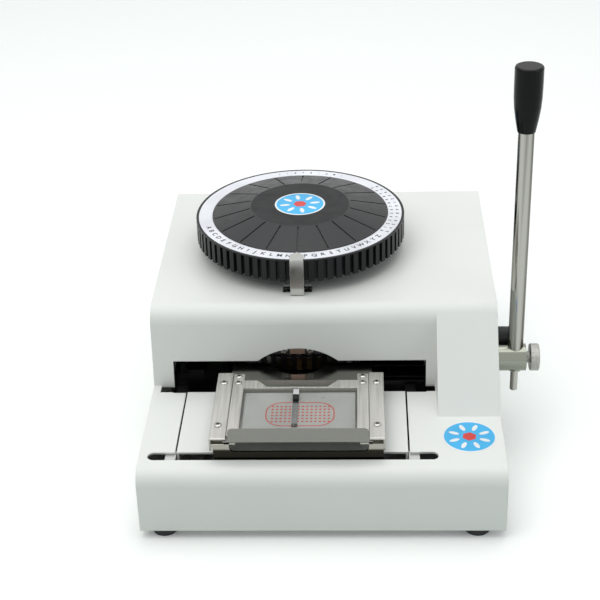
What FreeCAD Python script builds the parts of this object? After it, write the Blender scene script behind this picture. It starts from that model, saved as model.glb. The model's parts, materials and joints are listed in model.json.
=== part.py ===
"""Manual plastic card embosser: millimetres, +Z up.

The origin is the centre of the footprint on the desk. X runs to the operator's
right, Y runs from the front to the back, and Z = 0 is the underside of the feet.
"""
import FreeCAD, Part
import math
import os
import re
import Sketcher

doc = FreeCAD.newDocument("card_embosser")
sheet = doc.addObject("Spreadsheet::Sheet", "dims")

# Sizes: name, value in millimetres or a count, meaning. Text values are worked out from other sizes
SIZES = [
    ("house_width", 266, "outer width of the housing"),
    ("house_depth", "face_foot + wheel_front + 2 * wheel_radius + wheel_back", "depth of the housing"),
    ("foot_height", 7, "height of a rubber foot"),
    ("deck_height", 57, "top of the deck above the desk"),
    ("top_height", "bridge_top + top_room", "top of the housing above the desk"),
    ("top_room", 8, "space over the spindle bridge"),
    ("wall", 1.6, "thickness of the housing sheet"),
    ("deck_bend", 12, "outer radius of the front bend"),
    ("top_bend", 14, "outer radius of the upper front bend"),
    ("face_foot", 118, "front of the housing to the foot of the face"),
    ("face_lean", 7, "how far the face leans back at its top"),
    ("column_width", 46.5, "width of the right-hand column"),
    ("column_left", "house_width / 2 - column_width", "left cheek of the right-hand column"),
    ("column_foot", 73, "front of the housing to the foot of the column"),
    ("slot_side", 6.4, "side of the housing to the front slot"),
    ("slot_left", "slot_side - house_width / 2", "left end of the front slot"),
    ("slot_right", "column_left - 2.1", "right end of the front slot"),
    ("slot_front", 18, "front of the housing to the front slot"),
    ("slot_width", 9.5, "width of both deck slots"),
    ("rear_slot_left", "slot_left - 0.4", "left end of the rear slot"),
    ("rear_slot_right", "column_left - 0.5", "right end of the rear slot"),
    ("throat_side", 16, "side of the housing to the card throat"),
    ("throat_left", "throat_side - house_width / 2", "left edge of the card throat"),
    ("throat_right", "column_left - 7.5", "right edge of the card throat"),
    ("throat_top", "card_height + 6.1", "top of the throat above the desk"),
    ("arch_width", 62, "width of the arch over the throat"),
    ("arch_rise", 10.5, "rise of the arch"),
    ("panel_left", "throat_left + 11.3", "left edge of the deck panel"),
    ("panel_right", "throat_right - 16.3", "right edge of the deck panel"),
    ("panel_gap", 1.3, "gap beside the deck panel"),
    ("panel_foot", 12, "width of the deck panel's feet"),
    ("base_plate", 2.5, "thickness of the base plate"),
    ("base_gap", 0.3, "gap between the base plate and the housing"),
    ("foot_radius", 10, "radius of a rubber foot"),
    ("foot_left", "17 - house_width / 2", "X of the left feet"),
    ("foot_right", "house_width / 2 - 20", "X of the right feet"),
    ("foot_front", 12, "front of the housing to the front feet"),
    ("foot_back", 17, "back of the housing to the rear feet"),
    ("dial_x", -20, "X of the dial, the spindle and the type wheels"),
    ("dial_back", "wheel_radius + wheel_back", "back of the housing to the dial's axis"),
    ("dial_inset", 9.2, "how much smaller the dial's radius is than the type wheels'"),
    ("dial_radius", "wheel_radius - dial_inset", "radius over the dial's teeth"),
    ("dial_clear", 11, "gap between the top of the housing and the dial"),
    ("dial_height", 18.5, "height of the dial's rim"),
    ("dial_bottom", "top_height + dial_clear", "underside of the dial's rim"),
    ("dial_top", "dial_bottom + dial_height", "top of the dial's rim"),
    ("tooth_depth", 3.2, "depth of the gaps between the dial's teeth"),
    ("tooth_gap", 3.3, "width of the gaps between the dial's teeth"),
    ("tooth_lip", 1, "height of the plain lip over the teeth"),
    ("positions", 72, "characters round the dial and the type wheels"),
    ("ring_outer", "dial_radius - 2.1", "outer radius of the character ring"),
    ("ring_width", 11, "width of the character ring"),
    ("ring_inner", "ring_outer - ring_width", "inner radius of the character ring"),
    ("ring_sheet", 1, "thickness of the character ring"),
    ("cap_rise", 7.5, "height of the cap over the character ring"),
    ("cap_flat", 40, "radius of the cap's flat middle"),
    ("cap_grooves", 18, "radial grooves in the cap"),
    ("cap_groove_width", 1.3, "width of a groove in the cap"),
    ("cap_wall", 2.5, "thickness of the cap"),
    ("spindle_radius", 8, "radius of the spindle"),
    ("running_gap", 0.05, "radial clearance of every running fit"),
    ("card_rise", 14.7, "height of the card's face above the deck"),
    ("card_height", "deck_height + card_rise", "underside of the holder plate above the desk"),
    ("holder_sheet", 1.2, "thickness of the holder plate"),
    ("holder_left", -70.6, "left edge of the holder plate"),
    ("holder_right", 37.1, "right edge of the holder plate"),
    ("window_left", -60, "left edge of the card window"),
    ("window_right", 26, "right edge of the card window"),
    ("window_front", 31, "front of the housing to the card window"),
    ("window_back", 86, "front of the housing to the back of the window"),
    ("window_ledge", 1.5, "overlap of the holder plate over the card"),
    ("template_sheet", 0.8, "thickness of the card template"),
    ("bar_gap", 0.4, "gap between the holder plate and the guide bars"),
    ("bar_mouth", 6, "depth of the open end under the guide bars"),
    ("bar_sheet", 1.5, "thickness of the guide bars"),
    ("tray_sheet", 1.6, "thickness of the carriage tray"),
    ("slide_gap", 1.4, "gap under the card template"),
    ("carriage_left", -80.7, "left edge of the carriage"),
    ("carriage_right", 46, "right edge of the carriage"),
    ("carriage_front", 19.5, "front of the housing to the carriage"),
    ("carriage_length", "face_foot - carriage_front - 10", "length of the guide bars"),
    ("tongue_back", "face_foot + 17", "front of the housing to the end of the runners"),
    ("side_gap", 0.4, "sideways clearance of the holder in the carriage"),
    ("frame_bar", 8.4, "width of the holder's side bars"),
    ("rear_bar", 11, "depth of the holder's rear bar"),
    ("holder_back", "face_foot + 7", "front of the housing to the back of the holder"),
    ("holder_front", 18.8, "front of the housing to the pull lip"),
    ("bay_centre", -20, "X of the round bay in the back of the holder plate"),
    ("bay_behind", 22.6, "front of the bay to its centre"),
    ("bay_front", 108.2, "front of the housing to the front of the bay"),
    ("lip_height", 11.2, "height of the pull lip"),
    ("lip_left", "holder_left + 3.4", "left end of the pull lip"),
    ("lip_right", "holder_right - 2.7", "right end of the pull lip"),
    ("lip_corner", 3.5, "corner radius of the pull lip"),
    ("flange_foot", "deck_height - 0.7", "height of the bottom of the wide flanges"),
    ("flange_notch_left", "holder_left + 4.2", "left edge of the notch in the front flange"),
    ("flange_notch_right", "holder_right - 2.7", "right edge of the notch in the front flange"),
    ("flange_notch", 6.5, "depth of that notch"),
    ("notch_corner", 4, "corner radius of that notch"),
    ("ledge", 2, "width of the ledges the holder plate slides on"),
    ("bar_screw", 2.9, "radius of the guide bars' screw heads"),
    ("holder_screw", 2.6, "radius of the holder's screw heads"),
    ("front_bend", 1.5, "bend radius at the tray's front"),
    ("side_wall", 1.2, "thickness of the carriage's side walls"),
    ("side_wall_drop", 5.2, "how far the side walls hang under the tray's top"),
    ("rail_radius", 3, "radius of the carriage's rails"),
    ("rail_height", "deck_height - 13", "height of the rails above the desk"),
    ("rail_behind", 5, "carriage flange to the rail's axis"),
    ("slider_height", 12, "height of a slider block"),
    ("slider_depth", 10, "depth of a slider block"),
    ("slider_left", -47, "left end of the slider blocks"),
    ("slider_right", 13, "right end of the slider blocks"),
    ("rail_post", 7.8, "width of a rail bracket"),
    ("wheel_side", 19, "side of the housing to the type wheels"),
    ("wheel_front", 21.4, "foot of the face to the type wheels"),
    ("wheel_back", 6.6, "type wheels to the back of the housing"),
    ("wheel_radius", "house_width / 2 + dial_x - wheel_side", "radius of the type wheels"),
    ("punch_circle", "wheel_radius - 4", "radius of the circle of punches"),
    ("wheel_slot", 4.2, "width of the slots for the punches and dies"),
    ("slug_gap", 0.05, "clearance of a punch in its slot"),
    ("slug_depth", 6, "radial depth of a punch or die"),
    ("slug_stick", 2, "how far the punches stand over their wheel"),
    ("die_gap", 1.3, "card's underside to the die wheel"),
    ("die_height", 12.4, "thickness of the die wheel's rim"),
    ("punch_gap", 5.5, "card's underside to the punch wheel"),
    ("punch_height", 14.8, "thickness of the punch wheel's rim"),
    ("hub_radius", 20, "radius of the wheels' hubs"),
    ("spacer_radius", 13, "radius of the spacer between the wheels"),
    ("index_radius", 46, "radius of the index wheel"),
    ("index_notch", 1.6, "depth of an index notch"),
    ("index_height", 5, "thickness of the index wheel"),
    ("index_foot", 36, "height of the index wheel's underside"),
    ("bridge_clear", 1.8, "how far the bridge stands over the upper press arm"),
    ("bridge_top", "card_height + punch_gap + punch_height + slug_stick + strike + jaw_height"
     " + arm_height + bridge_clear", "top of the spindle bridge"),
    ("bridge_plate", 5, "thickness of the spindle bridge"),
    ("bridge_side", 11, "type wheels to the outside of the bridge"),
    ("bridge_left", "dial_x - wheel_radius - bridge_side", "left side of the spindle bridge"),
    ("bridge_right", "dial_x + wheel_radius + bridge_side", "right side of the spindle bridge"),
    ("bridge_half", 22, "half the depth of the spindle bridge"),
    ("lever_drop", 5.7, "lever's shaft below the holder plate"),
    ("lever_z", "card_height - lever_drop", "height of the lever's shaft"),
    ("shaft_radius", 8, "radius of the lever's shaft"),
    ("shaft_left", "house_width / 2 - 55", "inner end of the lever's shaft"),
    ("hub_outer", 10.75, "radius of the lever's hub"),
    ("hub_end", "house_width / 2 + 25", "outer end of the lever's hub"),
    ("rod_x", "house_width / 2 + 16.8", "X of the lever's rod"),
    ("rod_radius", 6, "radius of the lever's rod"),
    ("pin_radius", 3, "radius of the rod's lower pin"),
    ("pin_end", "lever_z - 29.9", "height of the lower pin's end"),
    ("rod_length", 191.4, "lever's shaft to the grip"),
    ("grip_length", 49.9, "length of the grip"),
    ("grip_edge", 1.6, "rounding of the grip's top edge"),
    ("grip_bottom", "lever_z + rod_length", "height of the grip's lower end"),
    ("grip_top", "grip_bottom + grip_length", "height of the grip's upper end"),
    ("grip_radius", 6.8, "radius of the grip at its lower end"),
    ("grip_swell", 10.5, "radius of the grip near its top"),
    ("knob_start", "hub_end + 2.9", "inner end of the clamp knob"),
    ("knob_end", "knob_start + 7.4", "outer end of the clamp knob"),
    ("neck_radius", 4.5, "radius of the clamp knob's screw"),
    ("neck_depth", 1.8, "depth of the screw in the hub"),
    ("stop_radius", 7, "radius of the lever's rubber stop"),
    ("stop_z", "lever_z + 12.2", "height of the lever's stop"),
    ("stop_end", "house_width / 2 + 22.3", "outer end of the lever's stop"),
    ("rest_gap", 0.3, "gap between parts that touch at rest"),
    ("cam_short", 12.5, "short radius of the press cam"),
    ("cam_long", 14.5, "long radius of the press cam"),
    ("cam_left", "house_width / 2 - 53", "left side of the press cam"),
    ("cam_width", 10, "width of the press cam"),
    ("arm_left", "dial_x - 8", "left end of the press arms"),
    ("arm_right", "house_width / 2 - 42", "right end of the press arms"),
    ("arm_pivot", "dial_x + 62", "X of the arms' pivots"),
    ("arm_height", 13, "height of the press arms"),
    ("arm_half", 7, "half the width of the press arms"),
    ("strike", 3, "free travel of the hammer and the anvil"),
    ("jaw_radius", 3, "radius of the hammer and the anvil"),
    ("jaw_height", 1.2, "height of the hammer and the anvil"),
    ("arm_pin", 4, "radius of the arms' pivot pins"),
    ("plate_thick", 5, "thickness of the press plates"),
    ("plate_gap", 2, "gap between the press plates and the arms"),
    ("plate_left", "dial_x + 50", "left edge of the lower press plates"),
    ("plate_right", "house_width / 2 - 29", "right edge of the press plates"),
    ("spine_left", "house_width / 2 - 40", "left edge of the press plates' spine"),
    ("nose_left", "dial_x - 28", "left end of the upper press plates"),
    ("press_throat", 3.5, "top of the punch wheel to the press plates' throat"),
    ("guide_half", 22, "half the width of the punch guide"),
    ("guide_depth", 5, "depth of the punch guide"),
    ("guide_lift", 9.7, "holder plate's underside to the punch guide"),
    ("guide_height", 10, "height of the punch guide"),
    ("detent_reach", 40, "detent pivot to its roller"),
    ("roller_radius", 5, "radius of the detent roller"),
    ("detent_arm_height", 4, "thickness of the detent arm"),
    ("rack_pitch", 3.6, "pitch of the feed rack"),
    ("rack_teeth", 23, "teeth of the feed rack"),
    ("rack_depth", 4, "depth of the feed rack"),
    ("pawl_rise", 14, "feed pawl's pivot to its tip, upwards"),
    ("pawl_run", 18, "feed pawl's pivot to its tip, sideways"),
    ("pointer_width", 10.6, "width of the pointer strip"),
    ("pointer_sheet", 0.8, "thickness of the pointer strip"),
    ("pointer_gap", 2.2, "gap between the pointer and the dial's teeth"),
    ("pointer_top", "dial_top + 1.9", "top of the pointer"),
    ("pointer_tip", 9, "length of the pointer's tip"),
    ("port_left", "dial_x - 11.7", "left edge of the pointer's port in the top"),
    ("port_right", "dial_x + 11.2", "right edge of the pointer's port"),
    ("port_start", 3.4, "dial's teeth to the front of the port"),
    ("port_depth", 12, "depth of the pointer's port"),
    ("clip_width", 4.4, "width of the card clip"),
    ("clip_sheet", 0.4, "thickness of the card clip"),
    ("clip_roll", 0.8, "radius of the clip's rolled end"),
    ("groove_depth", 0.9, "depth of a groove in the cap"),
    ("nut_flats", 26, "dial nut across its flats"),
    ("nut_height", 5, "height of the dial nut"),
    ("bracket_depth", 11, "depth of a rail bracket"),
    ("foot_screw", 2, "radius of a foot screw"),
    ("foot_screw_head", 3.6, "radius of a foot screw's head"),
    ("foot_screw_rise", 1.6, "height of a foot screw's head"),
]
NAMES = {name for name, number, meaning in SIZES}
for row, (name, number, meaning) in enumerate(SIZES, start=1):
    sheet.set("A%d" % row, name)
    sheet.set("C%d" % row, meaning)
    sheet.setAlias("B%d" % row, name)
for row, (name, number, meaning) in enumerate(SIZES, start=1):
    sheet.set("B%d" % row, "=" + number if isinstance(number, str) else str(number))
doc.recompute()


def value(text):
    """Number that an expression of size names comes to."""
    return float(sheet.evalExpression(str(text)))


def bound(text):
    """The same expression, written for an object outside the sheet."""
    def name_in_sheet(match):
        word = match.group(0)
        return "dims." + word if word in NAMES else word
    return re.sub(r"[a-z][a-z0-9_]*", name_in_sheet, str(text))


# Places that several pieces share, as expressions of the sizes
FRONT = "(-house_depth / 2)"
BACK = "(house_depth / 2)"
SIDE = "(house_width / 2)"
FACE = "(-house_depth / 2 + face_foot)"
FACE_TOP = "(-house_depth / 2 + face_foot + face_lean)"
FLOOR = "(foot_height + base_plate)"
DIAL_Y = "(house_depth / 2 - dial_back)"
PRESS_Y = "(house_depth / 2 - dial_back - punch_circle)"
SLOT_Y = "(-house_depth / 2 + slot_front)"
PANEL_FRONT = "(-house_depth / 2 + slot_front + slot_width)"
PANEL_BACK = "(-house_depth / 2 + face_foot - slot_width)"
PLATE_TOP = "(card_height + holder_sheet)"
BAR_BOTTOM = "(card_height + holder_sheet + bar_gap)"
BAR_TOP = "(card_height + holder_sheet + bar_gap + bar_sheet)"
TRAY_TOP = "(card_height - template_sheet - slide_gap)"
TRAY_BOTTOM = "(card_height - template_sheet - slide_gap - tray_sheet)"
CAR_FRONT = "(-house_depth / 2 + carriage_front)"
CAR_BACK = "(-house_depth / 2 + carriage_front + carriage_length)"
REAR_FLANGE = "(-house_depth / 2 + face_foot - slot_width + rest_gap * 5)"
FRONT_RAIL_Y = "(-house_depth / 2 + carriage_front + tray_sheet + rail_behind)"
REAR_RAIL_Y = "(-house_depth / 2 + face_foot - slot_width + rest_gap * 5 + tray_sheet + rail_behind)"
DIE_TOP = "(card_height - die_gap)"
DIE_BOTTOM = "(card_height - die_gap - die_height)"
PUNCH_BOTTOM = "(card_height + punch_gap)"
PUNCH_TOP = "(card_height + punch_gap + punch_height)"
HAMMER_Z = "(card_height + punch_gap + punch_height + slug_stick + strike)"
UPPER_ARM = "(card_height + punch_gap + punch_height + slug_stick + strike + jaw_height)"
ANVIL_Z = "(card_height - die_gap - die_height - slug_stick / 2 - strike)"
LOWER_ARM = "(lever_z - cam_short - rest_gap - arm_height)"
STOP_Y = "(house_depth / 2 - dial_back - punch_circle + rod_radius + rest_gap + stop_radius)"
CAP_Z = "(dial_top + cap_rise)"
RING_SEAT = "(dial_top - ring_sheet)"
WEB_Z = "(dial_top - 3.5)"


def piece(label):
    """New body with a name of its own."""
    body = doc.addObject("PartDesign::Body", label)
    body.Label = label
    return body


def sketch_on(body, plane, lift):
    """Empty sketch on one of the body's origin planes, lifted along its normal."""
    sketch = body.newObject("Sketcher::SketchObject", body.Name + "_sketch")
    origin = [part for part in body.Origin.OriginFeatures if part.Role == plane + "_Plane"]
    sketch.AttachmentSupport = [(origin[0], "")]
    sketch.MapMode = "FlatFace"
    sketch.setExpression("AttachmentOffset.Base.z", bound(lift))
    return sketch


def draw_corners(sketch, corners):
    """Closed outline of straight lines, each corner held by its two distances."""
    first = sketch.GeometryCount
    count = len(corners)
    points = [FreeCAD.Vector(value(u), value(v), 0) for u, v in corners]
    for number in range(count):
        line = Part.LineSegment(points[number], points[(number + 1) % count])
        sketch.addGeometry(line, False)
    for number in range(count):
        after = first + (number + 1) % count
        sketch.addConstraint(Sketcher.Constraint("Coincident", first + number, 2, after, 1))
    for number, (u, v) in enumerate(corners):
        for kind, text in (("DistanceX", u), ("DistanceY", v)):
            held = Sketcher.Constraint(kind, -1, 1, first + number, 1, value(text))
            index = sketch.addConstraint(held)
            sketch.setExpression("Constraints[%d]" % index, bound(text))


def draw_circle(sketch, u, v, radius):
    """Circle held by its centre and radius."""
    centre = FreeCAD.Vector(value(u), value(v), 0)
    circle = sketch.addGeometry(Part.Circle(centre, FreeCAD.Vector(0, 0, 1), value(radius)), False)
    held = [
        (Sketcher.Constraint("DistanceX", -1, 1, circle, 3, value(u)), u),
        (Sketcher.Constraint("DistanceY", -1, 1, circle, 3, value(v)), v),
        (Sketcher.Constraint("Radius", circle, value(radius)), radius),
    ]
    for constraint, text in held:
        index = sketch.addConstraint(constraint)
        sketch.setExpression("Constraints[%d]" % index, bound(text))


def draw(sketch, shapes):
    """Outlines given as lists of corners, or as ("circle", u, v, radius)."""
    for shape in shapes:
        if shape[0] == "circle":
            draw_circle(sketch, *shape[1:])
        else:
            draw_corners(sketch, shape)


def prism(body, plane, low, high, *shapes):
    """Pad of the outlines between two heights along the plane's axis."""
    lift = "-(%s)" % high if plane == "XZ" else low
    sketch = sketch_on(body, plane, lift)
    draw(sketch, shapes)
    pad = body.newObject("PartDesign::Pad", body.Name + "_pad")
    pad.Profile = sketch
    pad.setExpression("Length", bound("(%s) - (%s)" % (high, low)))
    return pad


def cut(body, plane, low, high, *shapes):
    """Pocket of the outlines between two heights along the plane's axis."""
    lift = "-(%s)" % low if plane == "XZ" else high
    sketch = sketch_on(body, plane, lift)
    draw(sketch, shapes)
    pocket = body.newObject("PartDesign::Pocket", body.Name + "_pocket")
    pocket.Profile = sketch
    pocket.setExpression("Length", bound("(%s) - (%s)" % (high, low)))
    return pocket


def turn(body, corners, along="V_Axis"):
    """Revolution of an outline in the XZ plane about the sketch's own axis."""
    sketch = sketch_on(body, "XZ", "0")
    draw(sketch, [corners])
    lathe = body.newObject("PartDesign::Revolution", body.Name + "_turned")
    lathe.Profile = sketch
    lathe.ReferenceAxis = (sketch, [along])
    lathe.Angle = 360
    return lathe


def repeat_round(body, feature, count):
    """Copies of a feature all the way round the body's upright axis."""
    pattern = body.newObject("PartDesign::PolarPattern", body.Name + "_round")
    pattern.Originals = [feature]
    axis = [part for part in body.Origin.OriginFeatures if part.Role == "Z_Axis"]
    pattern.Axis = (axis[0], [""])
    pattern.Angle = 360
    pattern.setExpression("Occurrences", bound(count))
    body.Tip = pattern
    return pattern


def round_edges(body, radius, chosen, kind="Fillet"):
    """Fillet, or chamfer, of the edges that a test picks."""
    doc.recompute()
    tip = body.Tip
    names = ["Edge%d" % (number + 1) for number, edge in enumerate(tip.Shape.Edges) if chosen(edge)]
    blend = body.newObject("PartDesign::" + kind, body.Name + "_" + kind.lower())
    blend.Base = (tip, names)
    blend.setExpression("Radius" if kind == "Fillet" else "Size", bound(radius))
    return blend


def lies(edge, x=None, y=None, z=None):
    """True for an edge that keeps to the given coordinates all along."""
    box = edge.BoundBox
    ends = ((x, box.XMin, box.XMax), (y, box.YMin, box.YMax), (z, box.ZMin, box.ZMax))
    near = [abs(low - value(at)) < 0.02 and abs(high - value(at)) < 0.02
            for at, low, high in ends if at is not None]
    return all(near)


def rectangle(left, low, right, high):
    """Corners of a rectangle."""
    return [(left, low), (right, low), (right, high), (left, high)]


def place(body, x="0", y="0", z="0"):
    """Bind a body's position to expressions of the sizes."""
    for letter, text in (("x", x), ("y", y), ("z", z)):
        body.setExpression("Placement.Base." + letter, bound(text))


def group(label, solids):
    """Identical loose pieces that share one name."""
    feature = doc.addObject("Part::Feature", label)
    feature.Label = label
    feature.Shape = Part.makeCompound(solids)
    feature.Placement = FreeCAD.Placement()
    return feature


def rod(radius, start, end):
    """Solid round bar from one point to another, given as expressions."""
    first = FreeCAD.Vector(*[value(text) for text in start])
    last = FreeCAD.Vector(*[value(text) for text in end])
    return Part.makeCylinder(value(radius), (last - first).Length, first, last - first)


def screw(x, y, z, head=2.4, rise=1.2, axis=(0, 0, 1)):
    """Low screw head with sloping sides, seated at a point."""
    seat = FreeCAD.Vector(value(x), value(y), value(z))
    out = FreeCAD.Vector(*axis)
    cap = Part.makeCone(value(head), value(head) * 0.7, value(rise), seat, out)
    return cap


def make_housing():
    """White sheet housing: deck, leaning face, column, top, sides and back."""
    body = piece("housing_shell")
    side = [(FRONT, "foot_height"), (FRONT, "deck_height"), (FACE, "deck_height"),
            (FACE_TOP, "top_height"), (BACK, "top_height"), (BACK, "foot_height")]
    prism(body, "YZ", "-" + SIDE, SIDE, side)
    round_edges(body, "top_bend", lambda edge: lies(edge, y=FACE_TOP, z="top_height"))
    rise = "(top_height - deck_height)"
    slant = "sqrt(face_lean ^ 2 + %s ^ 2)" % rise
    centre_y = "(%s + top_bend * (%s - face_lean) / %s)" % (FACE_TOP, slant, rise)
    centre_z = "(top_height - top_bend)"
    foot_y = "(-house_depth / 2 + column_foot)"
    run = "(%s - %s)" % (centre_y, foot_y)
    climb = "(%s - deck_height)" % centre_z
    square = "(%s ^ 2 + %s ^ 2)" % (run, climb)
    reach = "sqrt(%s - top_bend ^ 2)" % square
    touch_y = "(%s + %s / %s * (%s * %s - %s * top_bend))" % (foot_y, reach, square, run, reach, climb)
    touch_z = "(deck_height + %s / %s * (%s * top_bend + %s * %s))" % (reach, square, run, climb, reach)
    column = [(foot_y, "deck_height"), (touch_y, touch_z), (centre_y, centre_z),
              ("%s + wall" % FACE, "deck_height")]
    prism(body, "YZ", "column_left", SIDE, column)
    round_edges(body, "deck_bend", lambda edge: lies(edge, y=FRONT, z="deck_height"))
    doc.recompute()
    tip = body.Tip
    under = ["Face%d" % (number + 1) for number, face in enumerate(tip.Shape.Faces)
             if face.BoundBox.ZMax < value("foot_height") + 0.01]
    shell = body.newObject("PartDesign::Thickness", "housing_hollow")
    shell.Base = (tip, under)
    shell.setExpression("Value", bound("wall"))
    shell.Mode = "Skin"
    shell.Join = "Intersection"
    shell.Reversed = True
    deck_low = "deck_height - wall * 2"
    deck_high = "deck_height + 1"
    cut(body, "XY", deck_low, deck_high,
        rectangle("slot_left", SLOT_Y, "slot_right", PANEL_FRONT))
    round_edges(body, "slot_width * 0.49",
                lambda edge: lies(edge, x="slot_left", y=SLOT_Y) or lies(edge, x="slot_left", y=PANEL_FRONT)
                or lies(edge, x="slot_right", y=SLOT_Y) or lies(edge, x="slot_right", y=PANEL_FRONT))
    cut(body, "XY", deck_low, deck_high,
        rectangle("rear_slot_left", PANEL_BACK, "rear_slot_right", FACE))
    cut(body, "XY", deck_low, deck_high,
        rectangle("panel_left - panel_gap", "%s - 0.1" % PANEL_FRONT,
                  "panel_right + panel_gap", "%s + 0.1" % PANEL_BACK))
    cut(body, "XZ", "%s - 1" % PANEL_BACK, "%s + top_bend" % FACE,
        rectangle("throat_left", deck_low, "throat_right", "throat_top"))
    bow = "((arch_width ^ 2 / 4 + arch_rise ^ 2) / (2 * arch_rise))"
    cut(body, "XZ", "%s - 1" % FACE, "%s + top_bend" % FACE,
        ("circle", "dial_x", "throat_top + arch_rise - " + bow, bow))
    cut(body, "XY", "top_height - wall * 2", "top_height + 1",
        ("circle", "dial_x", DIAL_Y, "hub_radius + 2"))
    port_front = "(%s - dial_radius + port_start)" % DIAL_Y
    cut(body, "XY", "top_height - wall * 2", "top_height + 1",
        rectangle("port_left", port_front, "port_right", "%s + port_depth" % port_front))
    cut(body, "YZ", "%s - wall * 2" % SIDE, "%s + 1" % SIDE,
        ("circle", PRESS_Y, "lever_z", "shaft_radius + 1.5"))
    cut(body, "YZ", "%s - wall * 2" % SIDE, "%s + 1" % SIDE,
        ("circle", STOP_Y, "stop_z", "pin_radius + 0.1"))


def make_deck_panel():
    """White panel between the deck slots, on its own folded legs."""
    body = piece("deck_panel")
    top = "deck_height"
    foot = "(%s + wall)" % FLOOR
    hat = [("panel_left", FLOOR), ("panel_left", top), ("panel_right", top), ("panel_right", FLOOR),
           ("panel_right - panel_foot", FLOOR), ("panel_right - panel_foot", foot),
           ("panel_right - wall", foot), ("panel_right - wall", top + " - wall"),
           ("panel_left + wall", top + " - wall"), ("panel_left + wall", foot),
           ("panel_left + panel_foot", foot), ("panel_left + panel_foot", FLOOR)]
    prism(body, "XZ", PANEL_FRONT, PANEL_BACK, hat)
    cut(body, "YZ", "panel_left - 1", "panel_right + 1",
        ("circle", FRONT_RAIL_Y, "rail_height", "rail_radius + 0.5"))


def make_base():
    """Steel base plate inside the housing, with its four rubber feet."""
    body = piece("base_plate")
    inset = "(wall + base_gap)"
    prism(body, "XY", "foot_height", FLOOR,
          rectangle("-%s + %s" % (SIDE, inset), "%s + %s" % (FRONT, inset),
                    "%s - %s" % (SIDE, inset), "%s - %s" % (BACK, inset)))
    feet = []
    screws = []
    for x in ("foot_left", "foot_right"):
        for y in ("%s + foot_front" % FRONT, "%s - foot_back" % BACK):
            spot = FreeCAD.Vector(value(x), value(y), 0)
            tall = value("foot_height")
            wide = value("foot_radius")
            foot = Part.makeCone(wide * 0.92, wide, tall, spot)
            bore = Part.makeCylinder(wide * 0.4, tall * 0.4, spot)
            hole = Part.makeCylinder(value("foot_screw + running_gap"), tall, spot)
            feet.append(foot.cut(bore).cut(hole))
            rise = value("foot_screw_rise")
            seat = FreeCAD.Vector(0, 0, tall * 0.4)
            stem = Part.makeCylinder(value("foot_screw"), tall * 0.6, spot + seat)
            under = spot + seat - FreeCAD.Vector(0, 0, rise)
            head = Part.makeCylinder(value("foot_screw_head"), rise, under)
            screws.append(stem.fuse(head).removeSplitter())
    group("rubber_feet", feet)
    group("foot_screws", screws)


def make_spindle():
    """Bridge over the type wheels, the spindle's two bearings and the spindle."""
    body = piece("spindle_bridge")
    plate = "bridge_plate"
    inside = "bridge_top - " + plate
    portal = [("bridge_left", FLOOR), ("bridge_left", "bridge_top"), ("bridge_right", "bridge_top"),
              ("bridge_right", FLOOR), ("bridge_right - 20", FLOOR), ("bridge_right - 20", FLOOR + " + 4"),
              ("bridge_right - " + plate, FLOOR + " + 4"), ("bridge_right - " + plate, inside),
              ("bridge_left + " + plate, inside), ("bridge_left + " + plate, FLOOR + " + 4"),
              ("bridge_left + 20", FLOOR + " + 4"), ("bridge_left + 20", FLOOR)]
    prism(body, "XZ", "%s - bridge_half" % DIAL_Y, "%s + bridge_half" % DIAL_Y, portal)
    cut(body, "XY", inside + " - 1", "bridge_top + 1", ("circle", "dial_x", DIAL_Y, "spindle_radius + 4"))

    bore = "spindle_radius + running_gap"
    upper = piece("upper_bearing")
    turn(upper, [(bore, inside + " - 3"), ("spindle_radius + 4", inside + " - 3"),
                 ("spindle_radius + 4", "bridge_top"), ("spindle_radius + 7", "bridge_top"),
                 ("spindle_radius + 7", "bridge_top + 2"), (bore, "bridge_top + 2")])
    place(upper, "dial_x", DIAL_Y)

    lower = piece("lower_bearing")
    turn(lower, [("0", FLOOR), ("26", FLOOR), ("26", FLOOR + " + 4"), ("14", FLOOR + " + 8"),
                 ("14", "index_foot - 4"), (bore, "index_foot - 4"), (bore, FLOOR + " + 5"),
                 ("0", FLOOR + " + 5")])
    place(lower, "dial_x", DIAL_Y)

    spindle = piece("spindle")
    top = "(%s + 5.5)" % WEB_Z
    turn(spindle, [("0", FLOOR + " + 5.3"), ("spindle_radius", FLOOR + " + 5.3"),
                   ("spindle_radius", "index_foot - 3.7"), ("spindle_radius + 4", "index_foot - 3.7"),
                   ("spindle_radius + 4", "index_foot"), ("spindle_radius", "index_foot"),
                   ("spindle_radius", top), ("0", top)])
    place(spindle, "dial_x", DIAL_Y)


def make_index_wheel():
    """Notched wheel that the detent roller finds each character by."""
    body = piece("index_wheel")
    top = "(index_foot + index_height)"
    turn(body, [("spindle_radius", "index_foot"), ("index_radius", "index_foot"),
                ("index_radius", top), ("spindle_radius", top)])
    notch = cut(body, "XY", "index_foot - 1", top + " + 1",
                [("-index_notch", "-index_radius - 0.5"), ("index_notch", "-index_radius - 0.5"),
                 ("0", "-index_radius + index_notch")])
    repeat_round(body, notch, "positions")
    place(body, "dial_x", DIAL_Y)


def make_type_wheel(label, bottom, top, hub_bottom, hub_top, hub):
    """Type wheel: disc with a slot for each character, and its hub."""
    body = piece(label)
    bore = ("circle", "0", "0", "spindle_radius")
    prism(body, "XY", bottom, top, ("circle", "0", "0", "wheel_radius"), bore)
    prism(body, "XY", hub_bottom, bottom, ("circle", "0", "0", hub), bore)
    if hub_top != top:
        prism(body, "XY", top, hub_top, ("circle", "0", "0", "hub_radius"), bore)
    inner = "(punch_circle - slug_depth / 2 - slug_gap)"
    slot = cut(body, "XY", bottom + " - 1", top + " + 1",
               rectangle("-wheel_slot / 2", "-wheel_radius - 1", "wheel_slot / 2", "-" + inner))
    repeat_round(body, slot, "positions")
    place(body, "dial_x", DIAL_Y)


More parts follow.
